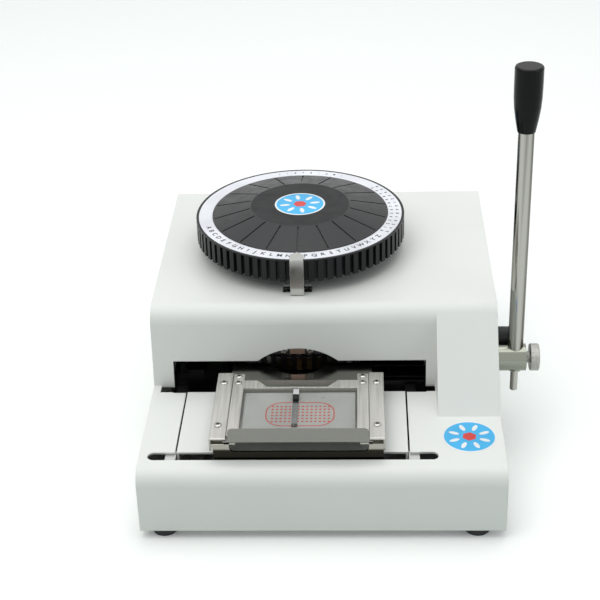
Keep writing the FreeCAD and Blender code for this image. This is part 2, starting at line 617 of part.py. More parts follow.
def make_slugs(label, bottom, top):
    """One punch or die for each character, standing in the wheel's slots."""
    wide = value("wheel_slot - 2 * slug_gap")
    deep = value("slug_depth")
    tall = value("%s - %s" % (top, bottom))
    centre = FreeCAD.Vector(value("dial_x"), value(DIAL_Y), 0)
    count = int(value("positions"))
    slugs = []
    for number in range(count):
        near = -value("punch_circle") - deep / 2
        slug = Part.makeBox(wide, deep, tall, FreeCAD.Vector(-wide / 2, near, value(bottom)))
        slug.rotate(FreeCAD.Vector(0, 0, 0), FreeCAD.Vector(0, 0, 1), 360.0 * number / count)
        slug.translate(centre)
        slugs.append(slug)
    group(label, slugs)


def make_dial():
    """Toothed dial, its character ring, its grooved cap and the nut under it."""
    body = piece("dial_wheel")
    rim = "(dial_radius - tooth_depth - 4)"
    hub_foot = "(bridge_top + 4)"
    turn(body, [("spindle_radius", hub_foot), ("hub_radius", hub_foot), ("hub_radius", WEB_Z + " - 4"),
                (rim, WEB_Z + " - 4"), (rim, "dial_bottom"), ("dial_radius", "dial_bottom"),
                ("dial_radius", "dial_top"), ("ring_outer + 0.1", "dial_top"),
                ("ring_outer + 0.1", RING_SEAT), ("ring_inner", RING_SEAT), ("ring_inner", WEB_Z),
                ("spindle_radius", WEB_Z)])
    gap = cut(body, "XY", "dial_bottom - 1", "dial_top - tooth_lip",
              rectangle("-tooth_gap / 2", "-dial_radius - 1",
                        "tooth_gap / 2", "-dial_radius + tooth_depth"))
    repeat_round(body, gap, "positions")
    place(body, "dial_x", DIAL_Y)

    ring = piece("character_ring")
    turn(ring, [("ring_inner", RING_SEAT), ("ring_outer", RING_SEAT),
                ("ring_outer", "dial_top"), ("ring_inner", "dial_top")])
    place(ring, "dial_x", DIAL_Y)

    cap = piece("dial_cap")
    edge = "(ring_inner - 0.1)"
    inside = "(%s - cap_wall)" % CAP_Z
    turn(cap, [("0", inside), ("cap_flat", inside), (edge + " - 3", "dial_top + 0.6 - cap_wall"),
               (edge + " - 3", WEB_Z), (edge, WEB_Z), (edge, "dial_top + 0.6"),
               ("cap_flat", CAP_Z), ("0", CAP_Z)])
    slope = "((%s - dial_top - 0.6) / (%s - cap_flat))" % (CAP_Z, edge)
    groove = cut(cap, "YZ", "-cap_groove_width / 2", "cap_groove_width / 2",
                 [("-%s + 1.2" % edge, "dial_top + 0.6 + 1.2 * %s - groove_depth" % slope),
                  ("-%s + 1.2" % edge, CAP_Z + " + 1"), ("-cap_flat - 1.2", CAP_Z + " + 1"),
                  ("-cap_flat - 1.2", "%s - 1.2 * %s - groove_depth" % (CAP_Z, slope))])
    repeat_round(cap, groove, "cap_grooves")
    place(cap, "dial_x", DIAL_Y)

    nut = piece("dial_nut")
    corners = [("nut_flats / 2 / cos(30 deg) * cos(%d deg)" % angle,
                "nut_flats / 2 / cos(30 deg) * sin(%d deg)" % angle) for angle in range(0, 360, 60)]
    prism(nut, "XY", WEB_Z, WEB_Z + " + nut_height", corners, ("circle", "0", "0", "spindle_radius"))
    place(nut, "dial_x", DIAL_Y)


def make_press():
    """Press plates, pivot pins, the two press arms and the shaft's bearings."""
    near = "(%s - arm_half - plate_gap - plate_thick)" % PRESS_Y
    far = "(%s + arm_half + plate_gap)" % PRESS_Y
    arm_top = "(%s + arm_height)" % UPPER_ARM
    lower_top = "(%s + arm_height)" % LOWER_ARM
    upper_pin = "(%s + arm_height / 2)" % UPPER_ARM
    lower_pin = "(%s + arm_height / 2)" % LOWER_ARM
    throat = "(%s + press_throat)" % PUNCH_TOP
    outline = [("plate_left", FLOOR), ("plate_right", FLOOR), ("plate_right", arm_top),
               ("plate_left", arm_top), ("plate_left", throat), ("spine_left", throat),
               ("spine_left", lower_top), ("plate_left", lower_top)]
    for label, start in (("front_press_plate", near), ("rear_press_plate", far)):
        body = piece(label)
        prism(body, "XZ", start, start + " + plate_thick", outline)
        if label == "front_press_plate":
            prism(body, "XZ", start, start + " + plate_thick",
                  rectangle("nose_left", "throat_top + 1", "plate_left + 1", arm_top))
        cut(body, "XZ", start + " - 1", start + " + plate_thick + 1",
            ("circle", "arm_pivot", upper_pin, "arm_pin"), ("circle", "arm_pivot", lower_pin, "arm_pin"))
    guide = piece("punch_guide")
    guide_low = "(card_height + guide_lift)"
    prism(guide, "XZ", near + " - guide_depth", near,
          rectangle("dial_x - guide_half", guide_low, "dial_x + guide_half", guide_low + " + guide_height"))
    leaf = piece("guide_leaf")
    prism(leaf, "XZ", near + " - guide_depth - 0.5", near + " - guide_depth",
          rectangle("dial_x - 6", guide_low + " + 0.4", "dial_x + 5.4", guide_low + " + guide_height - 2"))
    heads = [screw(x, near + " - guide_depth", guide_low + " + 3.2", 2.8, axis=(0, -1, 0))
             for x in ("dial_x - 10.5", "dial_x + 9.5")]
    group("guide_screws", heads)
    pins = [rod("arm_pin", ("arm_pivot", near, height), ("arm_pivot", far + " + plate_thick", height))
            for height in (upper_pin, lower_pin)]
    group("arm_pivot_pins", pins)

    bore = "arm_pin + running_gap"
    low = PRESS_Y + " - arm_half"
    high = PRESS_Y + " + arm_half"
    upper = piece("upper_press_arm")
    follower = "(lever_z + cam_short + rest_gap)"
    prism(upper, "XZ", low, high,
          [("arm_left", UPPER_ARM), ("cam_left - 1", UPPER_ARM), ("cam_left + 1", follower),
           ("cam_left + cam_width - 1", follower), ("arm_right", UPPER_ARM + " + 4"),
           ("arm_right", arm_top), ("arm_left + 8", arm_top), ("arm_left", arm_top + " - 5")])
    prism(upper, "XY", HAMMER_Z, UPPER_ARM, ("circle", "dial_x", PRESS_Y, "jaw_radius"))
    cut(upper, "XZ", low + " - 1", high + " + 1", ("circle", "arm_pivot", upper_pin, bore))

    lower = piece("lower_press_arm")
    prism(lower, "XZ", low, high,
          [("arm_left", LOWER_ARM + " + 5"), ("arm_left + 8", LOWER_ARM), ("arm_right", LOWER_ARM),
           ("arm_right", lower_top), ("arm_left", lower_top)])
    prism(lower, "XY", lower_top, ANVIL_Z, ("circle", "dial_x", PRESS_Y, "jaw_radius"))
    cut(lower, "XZ", low + " - 1", high + " + 1", ("circle", "arm_pivot", lower_pin, bore))

    block = piece("shaft_bearing_block")
    half = "shaft_radius + 6"
    left = "plate_right + 0.5"
    right = SIDE + " - wall - 3"
    prism(block, "XZ", "%s - %s" % (PRESS_Y, half), "%s + %s" % (PRESS_Y, half),
          [(left, FLOOR), (right, FLOOR), (right, "lever_z + %s" % half),
           (right + " - 9", "lever_z + %s" % half),
           (right + " - 9", FLOOR + " + 10"), (left + " + 8", FLOOR + " + 10"),
           (left + " + 8", "lever_z + %s" % half), (left, "lever_z + %s" % half)])
    cut(block, "YZ", left + " - 1", right + " + 1", ("circle", PRESS_Y, "lever_z", "shaft_radius + 2"))
    tubes = []
    for start, end in ((left, left + " + 8"), (right + " - 9", right)):
        sleeve = rod("shaft_radius + 2", (start, PRESS_Y, "lever_z"), (end, PRESS_Y, "lever_z"))
        hole = rod("shaft_radius + running_gap", (start, PRESS_Y, "lever_z"), (end, PRESS_Y, "lever_z"))
        tubes.append(sleeve.cut(hole))
    group("shaft_bushes", tubes)


def make_lever():
    """Lever shaft and hub, cam, rod, grip, clamp knob and the rubber stop."""
    shaft = piece("lever_shaft")
    neck = "hub_end - neck_depth"
    hole = "neck_radius + running_gap"
    turn(shaft, [("shaft_left", "0"), ("shaft_left", "shaft_radius"),
                 (SIDE + " + 0.8", "shaft_radius"), (SIDE + " + 0.8", "hub_outer"),
                 ("hub_end", "hub_outer"), ("hub_end", hole), (neck, hole), (neck, "0")], "H_Axis")
    cut(shaft, "XY", "-hub_outer - 1", "hub_outer + 1", ("circle", "rod_x", "0", "rod_radius"))
    place(shaft, "0", PRESS_Y, "lever_z")

    cam_face = doc.addObject("Part::Ellipse", "cam_outline")
    cam_face.setExpression("MajorRadius", bound("cam_long"))
    cam_face.setExpression("MinorRadius", bound("cam_short"))
    cam_body = doc.addObject("Part::Extrusion", "cam_blank")
    cam_body.Base = cam_face
    cam_body.DirMode = "Custom"
    cam_body.Dir = (0, 0, 1)
    cam_body.Solid = True
    cam_body.setExpression("LengthFwd", bound("cam_width"))
    bore = doc.addObject("Part::Cylinder", "cam_bore")
    bore.setExpression("Radius", bound("shaft_radius"))
    bore.setExpression("Height", bound("cam_width"))
    cam = doc.addObject("Part::Cut", "press_cam")
    cam.Base = cam_body
    cam.Tool = bore
    cam.Label = "press_cam"
    cam.Placement = FreeCAD.Placement(FreeCAD.Vector(0, 0, 0), FreeCAD.Rotation(90, 0, 90))
    place(cam, "cam_left", PRESS_Y, "lever_z")

    lever = piece("lever_rod")
    foot = "lever_z - hub_outer + 0.4"
    depth = "grip_bottom + 30"
    turn(lever, [("0", "pin_end"), ("pin_radius - 0.8", "pin_end"), ("pin_radius", "pin_end + 0.8"),
                 ("pin_radius", foot), ("rod_radius", foot), ("rod_radius", depth), ("0", depth)])
    place(lever, "rod_x", PRESS_Y)

    grip = piece("lever_grip")
    swell = "(grip_swell - grip_radius)"
    turn(grip, [("rod_radius", "grip_bottom"), ("grip_radius", "grip_bottom"),
                ("grip_radius + %s * 0.5" % swell, "grip_bottom + grip_length * 0.2"),
                ("grip_radius + %s * 0.83" % swell, "grip_bottom + grip_length * 0.37"),
                ("grip_radius + %s * 0.97" % swell, "grip_bottom + grip_length * 0.53"),
                ("grip_swell", "grip_bottom + grip_length * 0.68"),
                ("grip_swell", "grip_top - grip_edge"),
                ("grip_swell - grip_edge * 0.3", "grip_top - grip_edge * 0.3"),
                ("grip_swell - grip_edge", "grip_top"),
                ("0", "grip_top"), ("0", depth), ("rod_radius", depth)])
    place(grip, "rod_x", PRESS_Y)

    knob = piece("clamp_knob")
    turn(knob, [(neck + " + 0.3", "0"), (neck + " + 0.3", "neck_radius"), ("knob_start", "neck_radius"),
                ("knob_start", "hub_outer - 0.8"), ("knob_start + 0.8", "hub_outer"),
                ("knob_end - 0.8", "hub_outer"), ("knob_end", "hub_outer - 0.8"), ("knob_end", "0")],
         "H_Axis")
    place(knob, "0", PRESS_Y, "lever_z")

    wall_in = SIDE + " - wall"
    stud = rod("pin_radius", (wall_in + " - 2.5", STOP_Y, "stop_z"), ("stop_end - 2", STOP_Y, "stop_z"))
    nut = rod("pin_radius * 2", (wall_in + " - 2.5", STOP_Y, "stop_z"), (wall_in, STOP_Y, "stop_z"))
    group("lever_stop_stud", [stud.fuse(nut).removeSplitter()])
    sleeve = rod("stop_radius", (SIDE, STOP_Y, "stop_z"), ("stop_end", STOP_Y, "stop_z"))
    inner = rod("pin_radius", (SIDE, STOP_Y, "stop_z"), ("stop_end - 2", STOP_Y, "stop_z"))
    group("lever_stop_sleeve", [sleeve.cut(inner)])


def make_detent():
    """Post, sprung arm and roller that hold the dial at each character."""
    pivot_x = "(dial_x - index_radius - rest_gap - roller_radius)"
    arm_low = "(index_foot + index_height + 1)"
    arm_high = "(index_foot + index_height + 1 + detent_arm_height)"
    post = piece("detent_post")
    turn(post, [("0", FLOOR), ("12", FLOOR), ("12", FLOOR + " + 3"), ("7", FLOOR + " + 3"),
                ("7", arm_low), ("4", arm_low), ("4", arm_high + " + 2"), ("0", arm_high + " + 2")])
    place(post, pivot_x, "%s + detent_reach" % DIAL_Y)
    arm = piece("detent_arm")
    half = "(roller_radius + 1)"
    prism(arm, "XY", arm_low, arm_high,
          [("-" + half, "-5"), (half, "-5"), (half + " - 2", "detent_reach + 5"),
           (half + " - 5", "detent_reach + 8"), ("-%s + 5" % half, "detent_reach + 8"),
           ("-%s + 2" % half, "detent_reach + 5")])
    prism(arm, "XY", "index_foot - 1", arm_low, ("circle", "0", "0", "2"))
    cut(arm, "XY", arm_low + " - 1", arm_high + " + 1", ("circle", "0", "detent_reach", "4 + running_gap"))
    place(arm, pivot_x, DIAL_Y)
    roller = piece("detent_roller")
    turn(roller, [("2 + running_gap", "index_foot - 0.5"), ("roller_radius", "index_foot - 0.5"),
                  ("roller_radius", arm_low + " - 0.3"), ("2 + running_gap", arm_low + " - 0.3")])
    place(roller, pivot_x, DIAL_Y)


def make_feed():
    """Rack on the carriage's rear slider, and the sprung feed pawl under it."""
    rear = "(%s - rail_behind + slider_depth)" % REAR_RAIL_Y
    rack = piece("feed_rack")
    middle = "((slider_left + slider_right) / 2)"
    length = "(rack_pitch * rack_teeth)"
    low = "(rail_height - slider_height / 2)"
    start = "(%s - %s / 2)" % (middle, length)
    prism(rack, "XZ", rear, rear + " + rack_depth",
          rectangle(start, low, "%s + %s" % (start, length), low + " + 8"))
    tooth = cut(rack, "XZ", rear + " - 1", rear + " + rack_depth + 1",
                [(start, low + " - 0.5"), (start + " + rack_pitch * 0.8", low + " - 0.5"),
                 (start + " + rack_pitch * 0.8", low), (start, low + " + 2")])
    pattern = rack.newObject("PartDesign::LinearPattern", "rack_row")
    pattern.Originals = [tooth]
    along = [part for part in rack.Origin.OriginFeatures if part.Role == "X_Axis"]
    pattern.Direction = (along[0], [""])
    pattern.setExpression("Length", bound("rack_pitch * (rack_teeth - 1)"))
    pattern.setExpression("Occurrences", bound("rack_teeth"))
    rack.Tip = pattern

    pivot_x = "(dial_x + pawl_run)"
    pivot_z = "(%s - rest_gap - pawl_rise)" % low
    bracket = piece("pawl_bracket")
    far = rear + " + rack_depth"
    prism(bracket, "XZ", far + " + 0.3", far + " + 3.3",
          [(pivot_x + " - 7", FLOOR), (pivot_x + " + 7", FLOOR), (pivot_x + " + 5", pivot_z + " + 5"),
           (pivot_x + " - 5", pivot_z + " + 5")])
    prism(bracket, "XZ", rear, far + " + 3.3",
          rectangle(pivot_x + " - 7", FLOOR, pivot_x + " + 7", FLOOR + " + 2"))
    prism(bracket, "XZ", rear, far + " + 0.3", ("circle", pivot_x, pivot_z, "2.5"))
    pawl = piece("feed_pawl")
    prism(pawl, "XZ", rear + " + 0.5", far,
          [("-pawl_run", "pawl_rise"), ("-pawl_run + 2.4", "pawl_rise - 2"), ("-5", "5"), ("3", "5"),
           ("5", "0"), ("3", "-5"), ("-4", "-5"), ("-pawl_run - 1", "pawl_rise - 5")])
    cut(pawl, "XZ", rear + " - 1", far + " + 1", ("circle", "0", "0", "2.5 + running_gap"))
    place(pawl, pivot_x, "0", pivot_z)


def make_pointer():
    """Strap under the top, the bent pointer on it and its two screws."""
    under = "(top_height - wall)"
    drop = "(top_height - wall - 1.5)"
    low = "(top_height - wall - 3)"
    front = "(%s - dial_radius)" % DIAL_Y
    strap = piece("pointer_strap")
    prism(strap, "XZ", front + " + port_start - 1", front + " + port_start + port_depth + 1.6",
          [("dial_x - 32", under), ("dial_x - 32", drop), ("dial_x - 21.5", drop), ("dial_x - 21.5", low),
           ("dial_x + 21.5", low), ("dial_x + 21.5", drop), ("dial_x + 32", drop), ("dial_x + 32", under),
           ("dial_x + 20", under), ("dial_x + 20", drop), ("dial_x - 20", drop), ("dial_x - 20", under)])
    body = piece("pointer")
    step = "(%s + port_start + 1.4)" % front
    face = "(%s - pointer_gap)" % front
    over = "(top_height + 0.8)"
    left = "dial_x - pointer_width / 2"
    right = "dial_x + pointer_width / 2"
    gauge = "pointer_sheet"
    top = "pointer_top"
    prism(body, "YZ", left, right,
          [(step + " + 9.4", drop), (step + " + 9.4", "%s + %s" % (drop, gauge)),
           ("%s + %s" % (step, gauge), "%s + %s" % (drop, gauge)),
           ("%s + %s" % (step, gauge), "%s + %s" % (over, gauge)),
           (face, "%s + %s" % (over, gauge)), (face, "%s - %s" % (top, gauge)),
           (face + " + 7.6", "%s - %s" % (top, gauge)), (face + " + 7.6", top),
           ("%s - %s" % (face, gauge), top), ("%s - %s" % (face, gauge), over),
           (step, over), (step, drop)])
    prism(body, "XY", "%s - %s" % (top, gauge), top,
          [(left, face + " + 7.6"), ("dial_x", face + " + 7.6 + pointer_tip * 0.6"),
           (right, face + " + 7.6")])
    prism(body, "XY", drop, "%s + %s" % (drop, gauge),
          rectangle("port_left + 0.8", "%s + %s" % (step, gauge), "port_right - 0.8", step + " + 9.4"))
    heads = [screw(x, step + " + 5.2", "%s + %s" % (drop, gauge))
             for x in ("port_left + 3.6", "port_right - 3.6")]
    group("pointer_screws", heads)


def make_rails():
    """Two round rails under the deck and their end brackets."""
    ends = (("panel_left - 0.5 - rail_post", "panel_left - 0.5"),
            ("panel_right + 0.5", "panel_right + 0.5 + rail_post"))
    top = "deck_height - wall - rest_gap"
    for label, y in (("front", FRONT_RAIL_Y), ("rear", REAR_RAIL_Y)):
        bar = rod("rail_radius", (ends[0][0], y, "rail_height"), (ends[1][1], y, "rail_height"))
        group(label + "_rail", [bar])
        posts = []
        for left, right in ends:
            wide = value("%s - (%s)" % (right, left))
            deep = value("bracket_depth")
            corner = FreeCAD.Vector(value(left), value(y) - deep / 2, value(FLOOR))
            post = Part.makeBox(wide, deep, value("%s - %s" % (top, FLOOR)), corner)
            hole = rod("rail_radius", (left + " - 1", y, "rail_height"), (right + " + 1", y, "rail_height"))
            posts.append(post.cut(hole))
        group(label + "_rail_brackets", posts)


def make_carriage():
    """Carriage that carries the holder along the rails."""
    tray = piece("carriage_tray")
    tongue = "(%s + tongue_back)" % FRONT
    strip_back = REAR_FLANGE + " + tray_sheet"
    outline = [("carriage_left", CAR_FRONT), ("carriage_right", CAR_FRONT), ("carriage_right", CAR_BACK),
               ("holder_right", CAR_BACK), ("holder_right", tongue), ("window_right + 2", tongue),
               ("window_right + 2", strip_back), ("window_left - 2", strip_back),
               ("window_left - 2", tongue), ("holder_left", tongue), ("holder_left", CAR_BACK),
               ("carriage_left", CAR_BACK)]
    prism(tray, "XY", TRAY_BOTTOM, TRAY_TOP, outline)
    cut(tray, "XY", TRAY_BOTTOM + " - 1", TRAY_TOP + " + 1",
        rectangle("window_left - 2", CAR_FRONT + " + tray_sheet + 0.4", "window_right + 2", REAR_FLANGE))
    notch_foot = "(%s - flange_notch)" % TRAY_TOP
    slim_left = "(carriage_left + 2.7)"
    slim_right = "(carriage_right - 1)"
    slider_foot = "rail_height - slider_height / 2"
    flange = [(slim_left, TRAY_BOTTOM), (slim_left, "flange_foot"), ("slider_left", "flange_foot"),
              ("slider_left", slider_foot), ("slider_right", slider_foot),
              ("slider_right", "flange_foot"), (slim_right, "flange_foot"), (slim_right, TRAY_BOTTOM)]
    prism(tray, "XZ", CAR_FRONT, CAR_FRONT + " + tray_sheet", flange)
    cut(tray, "XZ", CAR_FRONT + " - 1", CAR_FRONT + " + tray_sheet + 0.4",
        rectangle("flange_notch_left", notch_foot, "flange_notch_right", TRAY_TOP + " + 1"))
    round_edges(tray, "notch_corner",
                lambda edge: (lies(edge, x="flange_notch_left") or lies(edge, x="flange_notch_right"))
                and lies(edge, z=notch_foot))
    round_edges(tray, "front_bend", lambda edge: lies(edge, y=CAR_FRONT, z=TRAY_TOP))
    prism(tray, "XZ", REAR_FLANGE, strip_back, flange)
    sides = (("carriage_left", "holder_left - side_gap", "carriage_left", "carriage_left + side_wall"),
             ("holder_right + side_gap", "carriage_right", "carriage_right - side_wall", "carriage_right"))
    for left, right, thin_left, thin_right in sides:
        prism(tray, "XY", TRAY_TOP, BAR_BOTTOM,
              rectangle(left, CAR_FRONT + " + bar_mouth", right, CAR_BACK))
        prism(tray, "XY", TRAY_TOP + " - side_wall_drop", BAR_BOTTOM,
              rectangle(thin_left, CAR_FRONT, thin_right, CAR_BACK))
    for left, right in (("holder_left", "holder_left + ledge"), ("holder_right - ledge", "holder_right")):
        prism(tray, "XY", TRAY_TOP, "card_height - rest_gap",
              rectangle(left, CAR_FRONT + " + bar_mouth", right, tongue))
    cut(tray, "XY", TRAY_BOTTOM + " - 1", TRAY_TOP + " + 1",
        ("circle", "bay_centre", "(%s + bay_front + bay_behind)" % FRONT, "bay_behind + 0.6"))

    bars = (("left_guide_bar", "carriage_left", "window_left - frame_bar - side_gap"),
            ("right_guide_bar", "window_right + frame_bar + side_gap", "carriage_right"))
    for label, left, right in bars:
        bar = piece(label)
        prism(bar, "XY", BAR_BOTTOM, BAR_TOP, rectangle(left, CAR_FRONT, right, CAR_BACK))
        round_edges(bar, "0.4", lambda edge: lies(edge, z=BAR_TOP))
    heads = []
    for x in ("carriage_left + 5.4", "carriage_right - 5.4"):
        for y in (CAR_FRONT + " + 16.8", CAR_BACK + " - 14.8"):
            heads.append(screw(x, y, BAR_TOP, "bar_screw", 1.4))
    group("guide_bar_screws", heads)

    for label, y in (("front_slider", FRONT_RAIL_Y), ("rear_slider", REAR_RAIL_Y)):
        block = piece(label)
        flange = "(%s - rail_behind)" % y
        prism(block, "XZ", flange, flange + " + slider_depth",
              rectangle("slider_left", "rail_height - slider_height / 2",
                        "slider_right", "rail_height + slider_height / 2"))
        cut(block, "YZ", "slider_left - 1", "slider_right + 1",
            ("circle", y, "rail_height", "rail_radius + running_gap"))


def make_holder():
    """Card holder that slides in the carriage: plate, frame, template and clip."""
    start = "(%s + holder_front)" % FRONT
    end = "(%s + holder_back)" % FRONT
    window_front = "(%s + window_front)" % FRONT
    window_back = "(%s + window_back)" % FRONT
    plate = piece("holder_plate")
    prism(plate, "XY", "card_height", PLATE_TOP, rectangle("holder_left", start, "holder_right", end))
    cut(plate, "XY", "card_height - 1", PLATE_TOP + " + 1",
        rectangle("window_left + window_ledge", window_front + " + window_ledge",
                  "window_right - window_ledge", window_back + " - window_ledge"))
    cut(plate, "XY", "card_height - 1", PLATE_TOP + " + 1",
        ("circle", "bay_centre", "(%s + bay_front + bay_behind)" % FRONT, "bay_behind"))
    prism(plate, "XZ", start, start + " + holder_sheet",
          rectangle("lip_left", PLATE_TOP, "lip_right", "card_height + lip_height"))
    round_edges(plate, "lip_corner",
                lambda edge: (lies(edge, x="lip_left") or lies(edge, x="lip_right"))
                and lies(edge, z="card_height + lip_height"))

    frame = piece("holder_frame")
    frame_left = "(window_left - frame_bar)"
    frame_right = "(window_right + frame_bar)"
    bar_front = "(%s + holder_front + holder_sheet + 3)" % FRONT
    back = "(%s + rear_bar)" % window_back
    notch = "dial_x + 0.7"
    prism(frame, "XY", PLATE_TOP, BAR_TOP,
          [(frame_left, bar_front), ("window_left", bar_front), ("window_left", window_back),
           ("window_right", window_back), ("window_right", bar_front), (frame_right, bar_front),
           (frame_right, back + " + 9"), ("window_right", back + " + 9"), ("window_right", back),
           ("window_left", back), ("window_left", back + " + 9"), (frame_left, back + " + 9")])
    cut(frame, "XY", PLATE_TOP + " - 1", BAR_TOP + " + 1",
        [(notch + " - 23", window_back + " + 2"), (notch + " + 23", window_back + " + 2"),
         (notch + " + 30.6", back + " - 0.01"), (notch + " - 30.6", back + " - 0.01")])
    heads = []
    for x in ("window_left - frame_bar / 2", "window_right + frame_bar / 2"):
        for y in (back + " - 4", back + " + 4.9"):
            heads.append(screw(x, y, BAR_TOP, "holder_screw", 1.3))
    group("holder_screws", heads)

    card = piece("template_card")
    prism(card, "XY", "card_height - template_sheet", "card_height",
          rectangle("window_left", window_front, "window_right", window_back))

    clip = piece("card_clip")
    clip_y = "(%s + window_front + 7)" % FRONT
    bend = "(%s - 14)" % window_back
    touch = "(card_height + 0.1)"
    crown = "(%s + clip_roll * 2 - clip_sheet)" % PLATE_TOP
    roll_y = "(%s - 1)" % window_back
    prism(clip, "YZ", "dial_x - clip_width / 2", "dial_x + clip_width / 2",
          [(clip_y, touch + " + 1.2"), (clip_y + " + 4", touch), (bend, touch), (roll_y, crown),
           (roll_y, crown + " + clip_sheet"), (bend, touch + " + clip_sheet"),
           (clip_y + " + 4", touch + " + clip_sheet"), (clip_y, touch + " + 1.2 + clip_sheet")])
    prism(clip, "YZ", "dial_x - clip_width / 2", "dial_x + clip_width / 2",
          ("circle", roll_y, PLATE_TOP + " + clip_roll", "clip_roll"))
    block = piece("clip_block")
    rise = "((%s - %s) / (%s - %s))" % (crown, touch, roll_y, bend)
    prism(block, "YZ", "dial_x - clip_width / 2 - 0.1", "dial_x + clip_width / 2 + 0.1",
          [(bend, touch + " + clip_sheet"), (bend + " + 5.5", "%s + clip_sheet + 5.5 * %s" % (touch, rise)),
           (bend + " + 5.5", "%s + clip_sheet + 5.5 * %s + 1.6" % (touch, rise)),
           (bend + " + 0.8", touch + " + clip_sheet + 2.6"), (bend, touch + " + clip_sheet + 1.8")])


def write_parts():
    """Check every object, then write one file for each named piece."""
    doc.recompute()
    failed = [item.Label for item in doc.Objects if "Invalid" in item.State or "Error" in item.State]
    if failed:
        raise RuntimeError("failed objects: " + ", ".join(failed))
    kept = [item for item in doc.Objects if item.isDerivedFrom("PartDesign::Body")
            or item.TypeId == "Part::Feature" or item.Label == "press_cam"]
    for item in kept:
        if item.Shape.isNull() or not item.Shape.isValid():
            raise RuntimeError("bad shape: " + item.Label)
    os.makedirs("parts", exist_ok=True)
    for item in kept:
        item.Shape.exportStep("parts/%s.step" % item.Label)
        print("%-22s %3d solids %10.1f mm3" % (item.Label, len(item.Shape.Solids), item.Shape.Volume))
    print(len(kept), "pieces")


make_housing()
make_deck_panel()
make_base()
make_spindle()
make_index_wheel()
make_type_wheel("die_wheel", DIE_BOTTOM, DIE_TOP, "index_foot + index_height", DIE_TOP, "hub_radius")
make_type_wheel("punch_wheel", PUNCH_BOTTOM, PUNCH_TOP, DIE_TOP, "bridge_top - bridge_plate - 3.3",
                "spacer_radius")
make_slugs("dies", DIE_BOTTOM + " - slug_stick / 2", DIE_TOP)
make_slugs("punches", PUNCH_BOTTOM, PUNCH_TOP + " + slug_stick")
make_dial()
make_press()
make_detent()
make_lever()
make_pointer()
make_rails()
make_carriage()
make_feed()
make_holder()
write_parts()
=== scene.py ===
import bmesh
import bpy
import json
import math
import random
from mathutils import Matrix, Vector


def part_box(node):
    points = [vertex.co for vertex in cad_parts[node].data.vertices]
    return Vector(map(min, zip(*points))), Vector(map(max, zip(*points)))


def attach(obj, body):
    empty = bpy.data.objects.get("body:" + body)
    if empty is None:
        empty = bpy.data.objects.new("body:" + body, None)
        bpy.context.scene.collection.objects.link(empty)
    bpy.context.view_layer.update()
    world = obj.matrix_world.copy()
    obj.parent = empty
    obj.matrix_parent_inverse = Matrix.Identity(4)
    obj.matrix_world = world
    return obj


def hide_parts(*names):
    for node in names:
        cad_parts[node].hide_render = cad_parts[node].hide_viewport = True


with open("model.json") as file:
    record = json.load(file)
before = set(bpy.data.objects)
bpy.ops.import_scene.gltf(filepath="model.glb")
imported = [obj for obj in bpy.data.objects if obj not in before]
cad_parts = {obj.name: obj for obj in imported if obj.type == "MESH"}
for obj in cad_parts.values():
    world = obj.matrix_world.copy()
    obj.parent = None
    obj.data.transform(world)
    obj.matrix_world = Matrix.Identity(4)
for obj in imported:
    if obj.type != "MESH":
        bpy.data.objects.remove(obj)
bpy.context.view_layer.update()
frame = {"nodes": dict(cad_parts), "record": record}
NODES = frame["nodes"]
MM_PER_METRE = 1000.0
random.seed(7)


def mm(*numbers):
    """Millimetres to a vector in metres."""
    return Vector([n / MM_PER_METRE for n in numbers])


def corners_of(node):
    """Lowest and highest corner of a node at rest, each as three numbers in millimetres."""
    return [[n * MM_PER_METRE for n in corner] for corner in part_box(node)]


def top_of(node):
    """Height of a node's highest point at rest, in millimetres."""
    return corners_of(node)[1][2]


# The dial, in millimetres

ring_low, ring_high = corners_of("character_ring")
DIAL_X = (ring_low[0] + ring_high[0]) / 2
DIAL_Y = (ring_low[1] + ring_high[1]) / 2
RING_OUTER = (ring_high[0] - ring_low[0]) / 2
RING_WIDTH = 11.0
RING_INNER = RING_OUTER - RING_WIDTH
RING_TOP = ring_high[2]
CAP_MIDDLE_RADIUS = 40.0


# Materials: depths and edges are in metres, and noise is in waves per metre

def new_material(name, color, roughness, metallic=0.0, specular=0.5):
    """A principled material, and its nodes, links and shader."""
    mat = bpy.data.materials.new(name)
    mat.use_nodes = True
    nodes = mat.node_tree.nodes
    links = mat.node_tree.links
    shader = nodes["Principled BSDF"]
    shader.inputs["Base Color"].default_value = (*color, 1)
    shader.inputs["Roughness"].default_value = roughness
    shader.inputs["Metallic"].default_value = metallic
    shader.inputs["Specular IOR Level"].default_value = specular
    return mat, nodes, links, shader


def noise(nodes, links, scale, detail=3.0, stretch=(1, 1, 1), roughness=0.5):
    """Noise in object space, stretched along an axis if asked."""
    coords = nodes.new("ShaderNodeTexCoord")
    mapping = nodes.new("ShaderNodeMapping")
    mapping.inputs["Scale"].default_value = stretch
    texture = nodes.new("ShaderNodeTexNoise")
    texture.inputs["Scale"].default_value = scale
    texture.inputs["Detail"].default_value = detail
    texture.inputs["Roughness"].default_value = roughness
    links.new(coords.outputs["Object"], mapping.inputs["Vector"])
    links.new(mapping.outputs["Vector"], texture.inputs["Vector"])
    return texture.outputs["Fac"]


def spread(nodes, links, source, low, high, start=0.0, end=1.0):
    """Map a value onto the range low to high."""
    node = nodes.new("ShaderNodeMapRange")
    node.inputs["From Min"].default_value = start
    node.inputs["From Max"].default_value = end
    node.inputs["To Min"].default_value = low
    node.inputs["To Max"].default_value = high
    links.new(source, node.inputs["Value"])
    return node.outputs["Result"]


